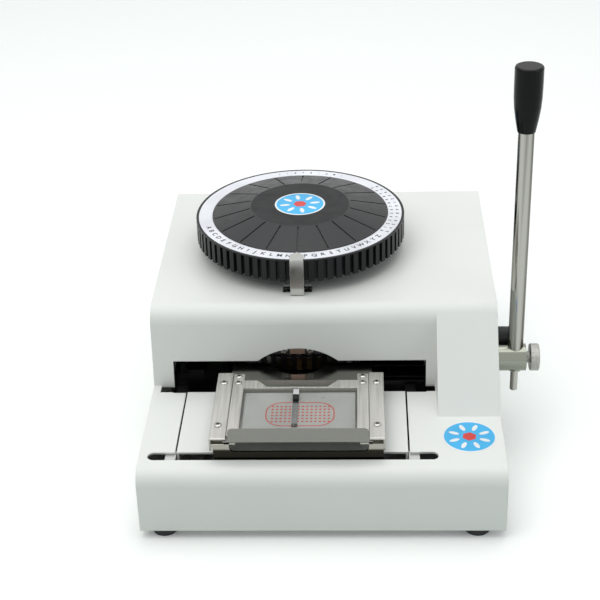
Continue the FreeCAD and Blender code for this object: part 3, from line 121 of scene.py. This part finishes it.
def tint(nodes, links, source, dark, light, start=0.3, end=0.7):
    """Blend two colours by a value."""
    ramp = nodes.new("ShaderNodeValToRGB")
    ramp.color_ramp.elements[0].position = start
    ramp.color_ramp.elements[0].color = (*dark, 1)
    ramp.color_ramp.elements[1].position = end
    ramp.color_ramp.elements[1].color = (*light, 1)
    links.new(source, ramp.inputs["Fac"])
    return ramp.outputs["Color"]


def bump(nodes, links, shader, source, distance, strength=1.0, edge=0.0):
    """Bump the surface by a value, with softened edges if asked."""
    node = nodes.new("ShaderNodeBump")
    node.inputs["Distance"].default_value = distance
    node.inputs["Strength"].default_value = strength
    links.new(source, node.inputs["Height"])
    if edge:
        soft = nodes.new("ShaderNodeBevel")
        soft.samples = 4
        soft.inputs["Radius"].default_value = edge
        links.new(soft.outputs["Normal"], node.inputs["Normal"])
    links.new(node.outputs["Normal"], shader.inputs["Normal"])


def vary_roughness(nodes, links, shader, source, low, high, start=0.3, end=0.7):
    """Let a value choose the roughness, from low to high."""
    links.new(spread(nodes, links, source, low, high, start, end), shader.inputs["Roughness"])


def vary_color(nodes, links, shader, source, dark, light, start=0.3, end=0.7):
    """Let a value choose the base colour, from dark to light."""
    links.new(tint(nodes, links, source, dark, light, start, end), shader.inputs["Base Color"])


def scaled(color, share):
    """A colour made darker or lighter, with no channel above 1."""
    return [min(1.0, c * share) for c in color]


def painted(name, color, roughness, grain, depth, edge):
    """Powder coat: a fine orange peel, faint clouds in tone, soft edges."""
    mat, nodes, links, shader = new_material(name, color, roughness)
    clouds = noise(nodes, links, scale=14, detail=2)
    vary_color(nodes, links, shader, clouds, scaled(color, 0.975), color)
    peel = noise(nodes, links, scale=grain, detail=2)
    vary_roughness(nodes, links, shader, clouds, roughness - 0.04, roughness + 0.05, start=0.0, end=1.0)
    bump(nodes, links, shader, peel, distance=depth, strength=0.5, edge=edge)
    return mat


def brushed(name, color, roughness, along, scale=900, depth=0.00002, edge=0.0):
    """Steel with fine brush lines that run along one axis."""
    mat, nodes, links, shader = new_material(name, color, roughness, metallic=1.0)
    stretch = [0.02 if axis == along else 1.0 for axis in "XYZ"]
    lines = noise(nodes, links, scale, detail=4, stretch=stretch, roughness=0.6)
    vary_color(nodes, links, shader, lines, scaled(color, 0.82), scaled(color, 1.1))
    vary_roughness(nodes, links, shader, lines, roughness - 0.08, roughness + 0.1)
    bump(nodes, links, shader, lines, distance=depth, strength=0.6, edge=edge)
    return mat


def smooth_metal(name, color, roughness, edge=0.0, marks=0.04):
    """Polished or turned metal, with faint smudges in its gloss."""
    mat, nodes, links, shader = new_material(name, color, roughness, metallic=1.0)
    smudge = noise(nodes, links, scale=55, detail=4)
    vary_roughness(nodes, links, shader, smudge, max(0.01, roughness - marks), roughness + marks)
    fine = noise(nodes, links, scale=1500)
    bump(nodes, links, shader, fine, distance=0.000004, strength=0.4, edge=edge)
    return mat


def drawn_tube(name, dark, light, roughness):
    """Polished tube with long soft dark bands painted along its length as painted reflections, and fine
    draw lines.
    """
    mat, nodes, links, shader = new_material(name, light, roughness, metallic=1.0)
    # Painted reflection: long dark bands in the base colour stand in for the room seen in the tube
    painted_reflection_streaks = noise(nodes, links, scale=230, detail=2, stretch=(1, 1, 0.012), roughness=0.4)
    vary_color(nodes, links, shader, painted_reflection_streaks, dark, light, start=0.36, end=0.62)
    lines = noise(nodes, links, scale=1800, stretch=(1, 1, 0.01), roughness=0.6)
    vary_roughness(nodes, links, shader, lines, roughness - 0.05, roughness + 0.06)
    bump(nodes, links, shader, lines, distance=0.000006, strength=0.4, edge=0.0003)
    return mat


def moulded(name, color, roughness, grain=700, depth=0.00004, edge=0.0, specular=0.5):
    """Plastic or rubber with a fine mould texture."""
    mat, nodes, links, shader = new_material(name, color, roughness, specular=specular)
    clouds = noise(nodes, links, scale=30)
    vary_color(nodes, links, shader, clouds, scaled(color, 0.9), scaled(color, 1.12))
    vary_roughness(nodes, links, shader, clouds, roughness - 0.05, roughness + 0.06)
    fine = noise(nodes, links, scale=grain)
    bump(nodes, links, shader, fine, distance=depth, strength=0.5, edge=edge)
    return mat


MATERIALS = {
    "white_paint": painted("white_paint", (0.83, 0.83, 0.81), 0.42, grain=1400, depth=0.00003, edge=0.0005),
    "plated_steel": smooth_metal("plated_steel", (0.60, 0.61, 0.60), 0.36, edge=0.0002),
    "brushed_steel": brushed("brushed_steel", (0.60, 0.59, 0.56), 0.36, along="Y", edge=0.0003),
    "mirror_steel": smooth_metal("mirror_steel", (0.225, 0.222, 0.205), 0.20, edge=0.0002),
    # the chrome's dark bands are painted reflections
    "chrome": drawn_tube("chrome", (0.060, 0.050, 0.036), (0.42, 0.415, 0.385), 0.12),
    "machined_steel": smooth_metal("machined_steel", (0.46, 0.46, 0.43), 0.20, edge=0.0003),
    "black_steel": smooth_metal("black_steel", (0.075, 0.075, 0.080), 0.38, edge=0.0003),
    "dial_black": moulded("dial_black", (0.012, 0.0125, 0.0135), 0.32, edge=0.0003, specular=0.22),
    "ring_white": moulded("ring_white", (0.80, 0.80, 0.86), 0.38, grain=1200, depth=0.00001),
    "bronze": smooth_metal("bronze", (0.45, 0.29, 0.12), 0.35),
    "copper": smooth_metal("copper", (0.56, 0.40, 0.33), 0.30, edge=0.0002),
    "rubber_black": moulded("rubber_black", (0.022, 0.022, 0.023), 0.62, grain=900, depth=0.00005,
                            edge=0.0004),
    "grip_black": moulded("grip_black", (0.004, 0.004, 0.0045), 0.16, grain=400, depth=0.00001,
                          edge=0.0005, specular=0.14),
    "card_grey": moulded("card_grey", (0.36, 0.36, 0.345), 0.30, grain=900, depth=0.00001),
}


def painted_shade_below(mat, low_color, low_z, high_z):
    """Painted shade: darken a material's colour below a height, given in millimetres above the desk."""
    nodes = mat.node_tree.nodes
    links = mat.node_tree.links
    shader = nodes["Principled BSDF"]
    coords = nodes.new("ShaderNodeTexCoord")
    parts = nodes.new("ShaderNodeSeparateXYZ")
    links.new(coords.outputs["Object"], parts.inputs["Vector"])
    rise = spread(nodes, links, parts.outputs["Z"], 0, 1, low_z / MM_PER_METRE, high_z / MM_PER_METRE)
    high_color = list(shader.inputs["Base Color"].default_value)[:3]
    vary_color(nodes, links, shader, rise, low_color, high_color, start=0.0, end=1.0)
    return mat


def knurled(name, color, roughness, grain, depth):
    """Metal with a fine knurl, whose grooves are painted darker as painted shade."""
    mat, nodes, links, shader = new_material(name, color, roughness, metallic=1.0)
    coords = nodes.new("ShaderNodeTexCoord")
    cells = nodes.new("ShaderNodeTexVoronoi")
    cells.inputs["Scale"].default_value = grain
    links.new(coords.outputs["Object"], cells.inputs["Vector"])
    height = cells.outputs["Distance"]
    # Painted shade: the knurl's grooves are darker in colour
    vary_color(nodes, links, shader, height, color, scaled(color, 0.7), start=0.2, end=0.8)
    bump(nodes, links, shader, height, distance=-depth, edge=0.0003)
    return mat


def ribbed_cap(name, inner, outer, middle, blend=0.4):
    """Moulded cap: a smooth, darker middle, with its radius in millimetres, and scuffed sectors."""
    mat, nodes, links, shader = new_material(name, outer, roughness=0.34, specular=0.35)
    coords = nodes.new("ShaderNodeTexCoord")
    flat = nodes.new("ShaderNodeVectorMath")
    flat.operation = "SUBTRACT"
    flat.inputs[1].default_value = mm(DIAL_X, DIAL_Y, 0)
    level = nodes.new("ShaderNodeVectorMath")
    level.operation = "MULTIPLY"
    level.inputs[1].default_value = (1, 1, 0)
    length = nodes.new("ShaderNodeVectorMath")
    length.operation = "LENGTH"
    links.new(coords.outputs["Object"], flat.inputs[0])
    links.new(flat.outputs["Vector"], level.inputs[0])
    links.new(level.outputs["Vector"], length.inputs[0])
    start = (middle - blend) / MM_PER_METRE
    end = (middle + blend) / MM_PER_METRE
    ramp = spread(nodes, links, length.outputs["Value"], 0, 1, start, end)
    vary_color(nodes, links, shader, ramp, inner, outer, start=0.0, end=1.0)
    links.new(spread(nodes, links, ramp, low=0.16, high=0.36), shader.inputs["Specular IOR Level"])
    scuffs = noise(nodes, links, scale=90, detail=5, roughness=0.65)
    vary_roughness(nodes, links, shader, scuffs, low=0.26, high=0.46)
    grain = noise(nodes, links, scale=1100)
    bump(nodes, links, shader, grain, distance=0.00004, strength=0.5, edge=0.0003)
    return mat


TRAY_STEEL = (0.36, 0.35, 0.31)
# Painted shade: the tray's colour is painted dark below these heights, on its lower flange and cups
TRAY_PAINTED_SHADE = (0.030, 0.028, 0.022)
TRAY_PAINTED_SHADE_LOW = 64.3
TRAY_PAINTED_SHADE_HIGH = 65.6
CAP_BLACK = (0.012, 0.0125, 0.014)
SECTOR_BLACK = (0.020, 0.0205, 0.0225)
FINISH_OF = {
    "pointer": smooth_metal("pointer_chrome", (0.52, 0.52, 0.50), 0.16, edge=0.0003),
    # painted shade on the tray's lower part
    "carriage_tray": painted_shade_below(smooth_metal("tray_steel", TRAY_STEEL, 0.20, edge=0.0002),
                                  TRAY_PAINTED_SHADE, TRAY_PAINTED_SHADE_LOW, TRAY_PAINTED_SHADE_HIGH),
    "clamp_knob": knurled("knurled_steel", (0.47, 0.47, 0.44), 0.38, grain=900, depth=0.0004),
    "lever_shaft": smooth_metal("hub_steel", (0.27, 0.285, 0.24), 0.16, edge=0.0003),
    "card_clip": smooth_metal("clip_steel", (0.36, 0.37, 0.37), 0.26, edge=0.0002),
    "dial_cap": ribbed_cap("cap_black", CAP_BLACK, SECTOR_BLACK, CAP_MIDDLE_RADIUS),
}
SLOT_OF = {row["node"]: row["material_slot"] for row in frame["record"]["subparts"]}
for name, node in NODES.items():
    node.data.materials.clear()
    node.data.materials.append(FINISH_OF.get(name, MATERIALS[SLOT_OF[name]]))


def printed(name, color, roughness):
    """Ink, or the face of a label: almost flat."""
    return moulded(name, color, roughness, grain=900, depth=0.000005)


INK = printed("ink_black", (0.020, 0.020, 0.024), 0.5)
SKY_BLUE = printed("sticker_blue", (0.045, 0.46, 0.86), 0.34)
STICKER_WHITE = printed("sticker_white", (0.85, 0.86, 0.88), 0.34)
STICKER_RED = printed("sticker_red", (0.70, 0.035, 0.03), 0.34)
PRINT_RED = printed("print_red", (0.48, 0.075, 0.06), 0.4)


# Mesh helpers: sizes and places are in millimetres

def add_piece(name, bm, material, body):
    """A flat-shaded mesh piece that rides on a body."""
    mesh = bpy.data.meshes.new(name)
    bm.to_mesh(mesh)
    bm.free()
    mesh.materials.append(material)
    for face in mesh.polygons:
        face.use_smooth = False
    obj = bpy.data.objects.new(name, mesh)
    bpy.context.scene.collection.objects.link(obj)
    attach(obj, body)
    return obj


def circle_points(x, y, radius, count, turn=0.0):
    """Points (x, y) spaced evenly round a circle; turn is the first one's angle in degrees."""
    angles = [2 * math.pi * i / count + math.radians(turn) for i in range(count)]
    return [(x + radius * math.cos(a), y + radius * math.sin(a)) for a in angles]


def join_rings(bm, low, high):
    """Faces between two rings with the same number of points."""
    count = len(low)
    for i in range(count):
        j = (i + 1) % count
        bm.faces.new((low[i], low[j], high[j], high[i]))


def flat_shape(bm, corners, z, thick):
    """A thin flat plate through corners (x, y)."""
    low = [bm.verts.new(mm(x, y, z)) for x, y in corners]
    high = [bm.verts.new(mm(x, y, z + thick)) for x, y in corners]
    bm.faces.new(reversed(low))
    bm.faces.new(high)
    join_rings(bm, low, high)


# Characters on the dial's ring, in millimetres

POSITIONS = 72
LETTER_THICK = 0.12
LETTER_LIFT = 0.05
LETTER_FATTER = 0.08


def letter_mesh(text, size):
    """The mesh of a character, centred on the origin, in metres."""
    curve = bpy.data.curves.new("letter", "FONT")
    curve.body = text
    curve.size = size / MM_PER_METRE
    curve.align_x = "CENTER"
    curve.align_y = "CENTER"
    curve.extrude = LETTER_THICK / 2 / MM_PER_METRE
    curve.resolution_u = 3
    curve.offset = LETTER_FATTER / MM_PER_METRE
    holder = bpy.data.objects.new("letter", curve)
    bpy.context.scene.collection.objects.link(holder)
    bpy.context.view_layer.update()
    mesh = bpy.data.meshes.new_from_object(holder)
    bpy.data.objects.remove(holder)
    bpy.data.curves.remove(curve)
    return mesh


def character_places():
    """Position, text, size and distance from the ring's middle line of each character.

    Capitals run across the front, two rows of small figures are on the right, and small signs behind.
    """
    capitals = "ABCDEFGHIJKLMNOPQRSTUVWXYZ"
    figures = "0123456789"
    signs = "-&7-5+3-1"
    front = capitals.index("O")
    after = len(capitals) - front
    capital_size, figure_size, sign_size = 5.8, 3.4, 3.2
    inner_row, outer_row, sign_row = -2.6, 2.2, 1.0
    figure_start, figure_places, figure_lead = after + 0.5, 14, 3
    sign_start = after + 19
    places = [(i - front, text, capital_size, 0.0) for i, text in enumerate(capitals)]
    for i in range(figure_places):
        inside = figures[i % len(figures)]
        outside = figures[(i + figure_lead) % len(figures)]
        places.append((figure_start + i, inside, figure_size, inner_row))
        places.append((figure_start + i, outside, figure_size, outer_row))
    for i, text in enumerate(signs):
        places.append((sign_start + i, text, sign_size, sign_row))
    return places


def ring_characters():
    """The characters, upright for someone who looks from outside, with position 0 at the front."""
    bm = bmesh.new()
    step = 360.0 / POSITIONS
    middle = (RING_INNER + RING_OUTER) / 2
    for position, text, size, row in character_places():
        mesh = letter_mesh(text, size)
        radius = middle + row
        angle = math.radians(-90 + position * step)
        turn = Matrix.Rotation(angle + math.pi / 2, 4, "Z")
        x = DIAL_X + radius * math.cos(angle)
        y = DIAL_Y + radius * math.sin(angle)
        mesh.transform(Matrix.Translation(mm(x, y, RING_TOP + LETTER_LIFT)) @ turn)
        bm.from_mesh(mesh)
        bpy.data.meshes.remove(mesh)
    add_piece("ring_characters", bm, INK, "dial")


ring_characters()


# Stickers, in millimetres and in shares of their radius

STICKER_SIDES = 96
RIM_THICK = 0.16
FIELD_SHARE = 0.93
FIELD_LIFT = 0.13
FIELD_THICK = 0.08
PATTERN_LIFT = 0.18
PATTERN_THICK = 0.07
PETALS = 8
PETAL_POINTS = 24
PETAL_MIDDLE = 0.60
PETAL_REACH = 0.20
PETAL_HALF_WIDTH = 0.085
HEXAGON_SHARE = 0.27


def petal_points(x, y, radius, direction):
    """A slender oval that points away from the sticker's middle."""
    points = []
    for k in range(PETAL_POINTS):
        t = 2 * math.pi * k / PETAL_POINTS
        along = radius * (PETAL_MIDDLE + PETAL_REACH * math.cos(t))
        across = radius * PETAL_HALF_WIDTH * math.sin(t)
        points.append((x + along * math.cos(direction) - across * math.sin(direction),
                       y + along * math.sin(direction) + across * math.cos(direction)))
    return points


def sticker(name, x, y, z, radius, body, turn):
    """A round label: a blue disc with a white rim, eight white petals and a red hexagon."""
    bm = bmesh.new()
    flat_shape(bm, circle_points(x, y, radius, STICKER_SIDES), z, RIM_THICK)
    add_piece(name + "_rim", bm, STICKER_WHITE, body)
    bm = bmesh.new()
    flat_shape(bm, circle_points(x, y, radius * FIELD_SHARE, STICKER_SIDES), z + FIELD_LIFT, FIELD_THICK)
    add_piece(name + "_field", bm, SKY_BLUE, body)
    bm = bmesh.new()
    for i in range(PETALS):
        direction = math.radians(360 / PETALS * i + turn)
        flat_shape(bm, petal_points(x, y, radius, direction), z + PATTERN_LIFT, PATTERN_THICK)
    add_piece(name + "_petals", bm, STICKER_WHITE, body)
    bm = bmesh.new()
    flat_shape(bm, circle_points(x, y, radius * HEXAGON_SHARE, 6, turn), z + PATTERN_LIFT, PATTERN_THICK)
    add_piece(name + "_mark", bm, STICKER_RED, body)


def stickers():
    """One sticker in the middle of the dial's cap, and one on the deck, which is as high as its panel."""
    sticker("dial_sticker", DIAL_X, DIAL_Y, top_of("dial_cap"), radius=20.5, body="dial", turn=10)
    from_right, from_front = 25.0, 46.5
    shell_low, shell_high = corners_of("housing_shell")
    x = shell_high[0] - from_right
    y = shell_low[1] + from_front
    sticker("deck_sticker", x, y, top_of("deck_panel"), radius=20.0, body="root", turn=22.5)


stickers()


# Printed outline and dots on the template card, in millimetres

PRINT_THICK = 0.06
PRINT_FROM_LEFT = 18.2
PRINT_FROM_RIGHT = 16.7
PRINT_FROM_FRONT = 8.3
PRINT_FROM_BACK = 14.9
PRINT_CORNER = 13.0
PRINT_LINE = 0.9
CORNER_STEPS = 8
DOT_COLUMNS = 14
DOT_ROWS = 6
DOT_RADIUS = 0.95
DOT_SIDES = 10
DOTS_FROM_LEFT = 5.1
DOTS_FROM_FRONT = 6.2
DOTS_WIDE = 41.7
DOTS_DEEP = 19.9


def round_outline(left, right, low, high, inset):
    """Points round the printed rectangle, which has round corners, moved inwards by inset."""
    corner = PRINT_CORNER
    radius = corner - inset
    points = []
    for cx, cy, start in ((right - corner, high - corner, 0), (left + corner, high - corner, 90),
                          (left + corner, low + corner, 180), (right - corner, low + corner, 270)):
        for k in range(CORNER_STEPS + 1):
            angle = math.radians(start + 90 * k / CORNER_STEPS)
            points.append((cx + radius * math.cos(angle), cy + radius * math.sin(angle)))
    return points


def template_print():
    """A red outline with rounded ends, and rows of dots inside it."""
    (card_left, card_front, _), (card_right, card_back, top) = corners_of("template_card")
    left, right = card_left + PRINT_FROM_LEFT, card_right - PRINT_FROM_RIGHT
    low, high = card_front + PRINT_FROM_FRONT, card_back - PRINT_FROM_BACK
    outer = round_outline(left, right, low, high, 0)
    inner = round_outline(left, right, low, high, PRINT_LINE)
    bm = bmesh.new()
    section = ((outer, top), (inner, top), (inner, top + PRINT_THICK), (outer, top + PRINT_THICK))
    rings = [[bm.verts.new(mm(x, y, z)) for x, y in points] for points, z in section]
    for ring, following in zip(rings, rings[1:] + rings[:1]):
        join_rings(bm, ring, following)
    bmesh.ops.recalc_face_normals(bm, faces=bm.faces)
    for i in range(DOT_COLUMNS):
        for j in range(DOT_ROWS):
            x = left + DOTS_FROM_LEFT + DOTS_WIDE * i / (DOT_COLUMNS - 1)
            y = low + DOTS_FROM_FRONT + DOTS_DEEP * j / (DOT_ROWS - 1)
            flat_shape(bm, circle_points(x, y, DOT_RADIUS, DOT_SIDES), top, PRINT_THICK)
    add_piece("template_print", bm, PRINT_RED, "holder")


template_print()


# Screw heads with a cross recess, in shares of the head's radius and rise

HEAD_PROFILE = ((1.0, 0.0), (1.0, 0.35), (0.95, 0.58), (0.84, 0.78), (0.68, 0.92), (0.56, 1.0))
HEAD_SIDES = 32
RECESS_REACH = 0.54
RECESS_HALF_WIDTH = 0.17
RECESS_TAPER = 0.8
RECESS_FLOOR = 0.12
WELD_METRES = 0.000001


def solids_of(node):
    """Lowest and highest corner, in millimetres, of each separate solid in a node."""
    bm = bmesh.new()
    bm.from_mesh(NODES[node].data)
    bmesh.ops.remove_doubles(bm, verts=bm.verts, dist=WELD_METRES)
    left = set(bm.verts)
    found = []
    while left:
        reached = [left.pop()]
        corners = []
        while reached:
            vert = reached.pop()
            corners.append(vert.co * MM_PER_METRE)
            for edge in vert.link_edges:
                other = edge.other_vert(vert)
                if other in left:
                    left.discard(other)
                    reached.append(other)
        found.append([Vector([pick(c[k] for c in corners) for k in range(3)]) for pick in (min, max)])
    bm.free()
    return sorted(found, key=lambda pair: tuple(pair[0]))


def recess_outline(radius):
    """Corners of the cross, three for each of its arms."""
    reach, half = radius * RECESS_REACH, radius * RECESS_HALF_WIDTH
    outline = []
    for quarter in range(4):
        angle = math.pi / 2 * quarter
        for u, v in ((reach, -half), (reach, half), (half, half)):
            outline.append((u * math.cos(angle) - v * math.sin(angle),
                            u * math.sin(angle) + v * math.cos(angle)))
    return outline


def screw_head(bm, radius, rise, turn, place):
    """A domed head with a cross recess, turned about its axis and set in place."""
    part = bmesh.new()
    rings = []
    for share, height in HEAD_PROFILE:
        points = circle_points(0, 0, radius * share, HEAD_SIDES)
        rings.append([part.verts.new((x, y, rise * height)) for x, y in points])
    for low, high in zip(rings, rings[1:]):
        join_rings(part, low, high)
    outline = recess_outline(radius)
    top = [part.verts.new((u, v, rise)) for u, v in outline]
    floor = [part.verts.new((u * RECESS_TAPER, v * RECESS_TAPER, rise * RECESS_FLOOR)) for u, v in outline]
    join_rings(part, top, floor)
    part.faces.new(floor)
    edges = []
    for loop in (rings[-1], top):
        for i, vert in enumerate(loop):
            edges.append(part.edges.get((vert, loop[(i + 1) % len(loop)])))
    bmesh.ops.triangle_fill(part, edges=edges, use_beauty=True)
    bmesh.ops.recalc_face_normals(part, faces=part.faces)
    bmesh.ops.transform(part, matrix=place @ Matrix.Rotation(turn, 4, "Z"), verts=part.verts)
    bmesh.ops.scale(part, vec=mm(1, 1, 1), verts=part.verts)
    mesh = bpy.data.meshes.new("head")
    part.to_mesh(mesh)
    part.free()
    bm.from_mesh(mesh)
    bpy.data.meshes.remove(mesh)


def screw_group(node, body, slot, facing):
    """Domed heads in place of a node's plain ones; facing is Z for up or -Y for front."""
    bm = bmesh.new()
    for low, high in solids_of(node):
        middle = (low + high) / 2
        radius = (high.x - low.x) / 2
        turn = random.uniform(0, math.pi / 2)
        if facing == "Z":
            place = Matrix.Translation((middle.x, middle.y, low.z))
            rise = high.z - low.z
        else:
            place = Matrix.Translation((middle.x, high.y, middle.z)) @ Matrix.Rotation(math.pi / 2, 4, "X")
            rise = high.y - low.y
        screw_head(bm, radius, rise, turn, place)
    piece = add_piece(node + "_heads", bm, MATERIALS[slot], body)
    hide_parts(node)


screw_group("guide_bar_screws", "carriage", "machined_steel", "Z")
screw_group("holder_screws", "holder", "machined_steel", "Z")
screw_group("guide_screws", "root", "machined_steel", "-Y")
screw_group("pointer_screws", "root", "black_steel", "Z")


# Floor, world, lamps and camera: in metres, but the camera's place, lens and sensor in millimetres

FLOOR_SIZE = 16
FLOOR_SEEN = (1.0, 1.0, 1.0)
FLOOR_GLOW = 0.07
FLOOR_BOUNCE = (0.66, 0.70, 0.68)
ROOM_FRONT = (0.33, 0.37, 0.36)
ROOM_BACK = (0.70, 0.74, 0.73)
CAMERA_PLACE = (31.192, -1017.730, 674.646)
CAMERA_PITCH = math.radians(29.1826)
CAMERA_YAW = math.radians(-2.8315)
CAMERA_ROLL = math.radians(-1.8075)
CAMERA_LENS = 88.351
CAMERA_SENSOR = 36


def seeing_rays(nodes, links):
    """1 for rays from the camera, from gloss and through glass, 0 for soft light."""
    path = nodes.new("ShaderNodeLightPath")
    value = path.outputs["Is Camera Ray"]
    for name in ("Is Glossy Ray", "Is Transmission Ray"):
        either = nodes.new("ShaderNodeMath")
        either.operation = "MAXIMUM"
        links.new(value, either.inputs[0])
        links.new(path.outputs[name], either.inputs[1])
        value = either.outputs["Value"]
    return value


def make_floor():
    """White floor: it looks white to the camera and in metal, and bounces less light than that."""
    bpy.ops.mesh.primitive_plane_add(size=FLOOR_SIZE, location=(0, 0, 0))
    floor = bpy.context.active_object
    floor.name = "floor"
    mat, nodes, links, shader = new_material("floor_white", (1, 1, 1), roughness=0.7, specular=0.1)
    shades = nodes.new("ShaderNodeMix")
    shades.data_type = "RGBA"
    shades.inputs["A"].default_value = (*FLOOR_BOUNCE, 1)
    shades.inputs["B"].default_value = (*FLOOR_SEEN, 1)
    seeing = seeing_rays(nodes, links)
    links.new(seeing, shades.inputs["Factor"])
    links.new(shades.outputs["Result"], shader.inputs["Base Color"])
    glow = spread(nodes, links, seeing, 0, FLOOR_GLOW)
    shader.inputs["Emission Color"].default_value = (1, 1, 1, 1)
    links.new(glow, shader.inputs["Emission Strength"])
    floor.data.materials.append(mat)


def make_world():
    """White surroundings for what sees them, and soft room light that is weaker in front."""
    world = bpy.data.worlds.new("studio")
    bpy.context.scene.world = world
    world.use_nodes = True
    nodes = world.node_tree.nodes
    links = world.node_tree.links
    nodes.clear()
    out = nodes.new("ShaderNodeOutputWorld")
    seen = nodes.new("ShaderNodeBackground")
    seen.inputs["Color"].default_value = (1, 1, 1, 1)
    seen.inputs["Strength"].default_value = 1.0
    room = nodes.new("ShaderNodeBackground")
    coords = nodes.new("ShaderNodeTexCoord")
    parts = nodes.new("ShaderNodeSeparateXYZ")
    links.new(coords.outputs["Generated"], parts.inputs["Vector"])
    depth = spread(nodes, links, parts.outputs["Y"], 0, 1, start=-1, end=1)
    shade = tint(nodes, links, depth, ROOM_FRONT, ROOM_BACK, start=0.2, end=0.75)
    links.new(shade, room.inputs["Color"])
    mix = nodes.new("ShaderNodeMixShader")
    links.new(seeing_rays(nodes, links), mix.inputs["Fac"])
    links.new(room.outputs["Background"], mix.inputs[1])
    links.new(seen.outputs["Background"], mix.inputs[2])
    links.new(mix.outputs["Shader"], out.inputs["Surface"])


def make_lamps():
    """Large soft lamps: name, place, target, size, power in watts, colour."""
    lamps = (("key", (-0.9, -0.7, 1.9), (0, 0, 0.08), 1.5, 12, (1.0, 0.995, 0.98)),
             ("top", (0.1, 0.3, 1.9), (0, 0, 0.05), 1.6, 12, (1.0, 1.0, 0.99)),
             ("right", (1.6, -0.7, 0.9), (0, 0, 0.1), 1.0, 3, (0.95, 1.0, 1.0)))
    for name, spot, target, size, energy, color in lamps:
        data = bpy.data.lights.new(name, "AREA")
        data.size = size
        data.energy = energy
        data.color = color
        lamp = bpy.data.objects.new(name, data)
        lamp.location = spot
        lamp.rotation_euler = (Vector(target) - Vector(spot)).to_track_quat("-Z", "Y").to_euler()
        bpy.context.scene.collection.objects.link(lamp)


def set_camera():
    """The camera that was fitted to the photograph."""
    ahead = Vector((math.sin(CAMERA_YAW) * math.cos(CAMERA_PITCH),
                    math.cos(CAMERA_YAW) * math.cos(CAMERA_PITCH), -math.sin(CAMERA_PITCH)))
    right = Vector((math.cos(CAMERA_YAW), -math.sin(CAMERA_YAW), 0))
    up = right.cross(ahead)
    turned_right = right * math.cos(CAMERA_ROLL) + up * math.sin(CAMERA_ROLL)
    turned_up = up * math.cos(CAMERA_ROLL) - right * math.sin(CAMERA_ROLL)
    data = bpy.data.cameras.new("camera")
    data.lens = CAMERA_LENS
    data.sensor_width = CAMERA_SENSOR
    data.clip_start = 0.05
    data.clip_end = 50
    camera = bpy.data.objects.new("camera", data)
    place = Matrix((turned_right, turned_up, -ahead)).transposed().to_4x4()
    place.translation = mm(*CAMERA_PLACE)
    camera.matrix_world = place
    bpy.context.scene.collection.objects.link(camera)
    bpy.context.scene.camera = camera


make_floor()
make_world()
make_lamps()
set_camera()
bpy.context.scene.view_settings.view_transform = "Standard"
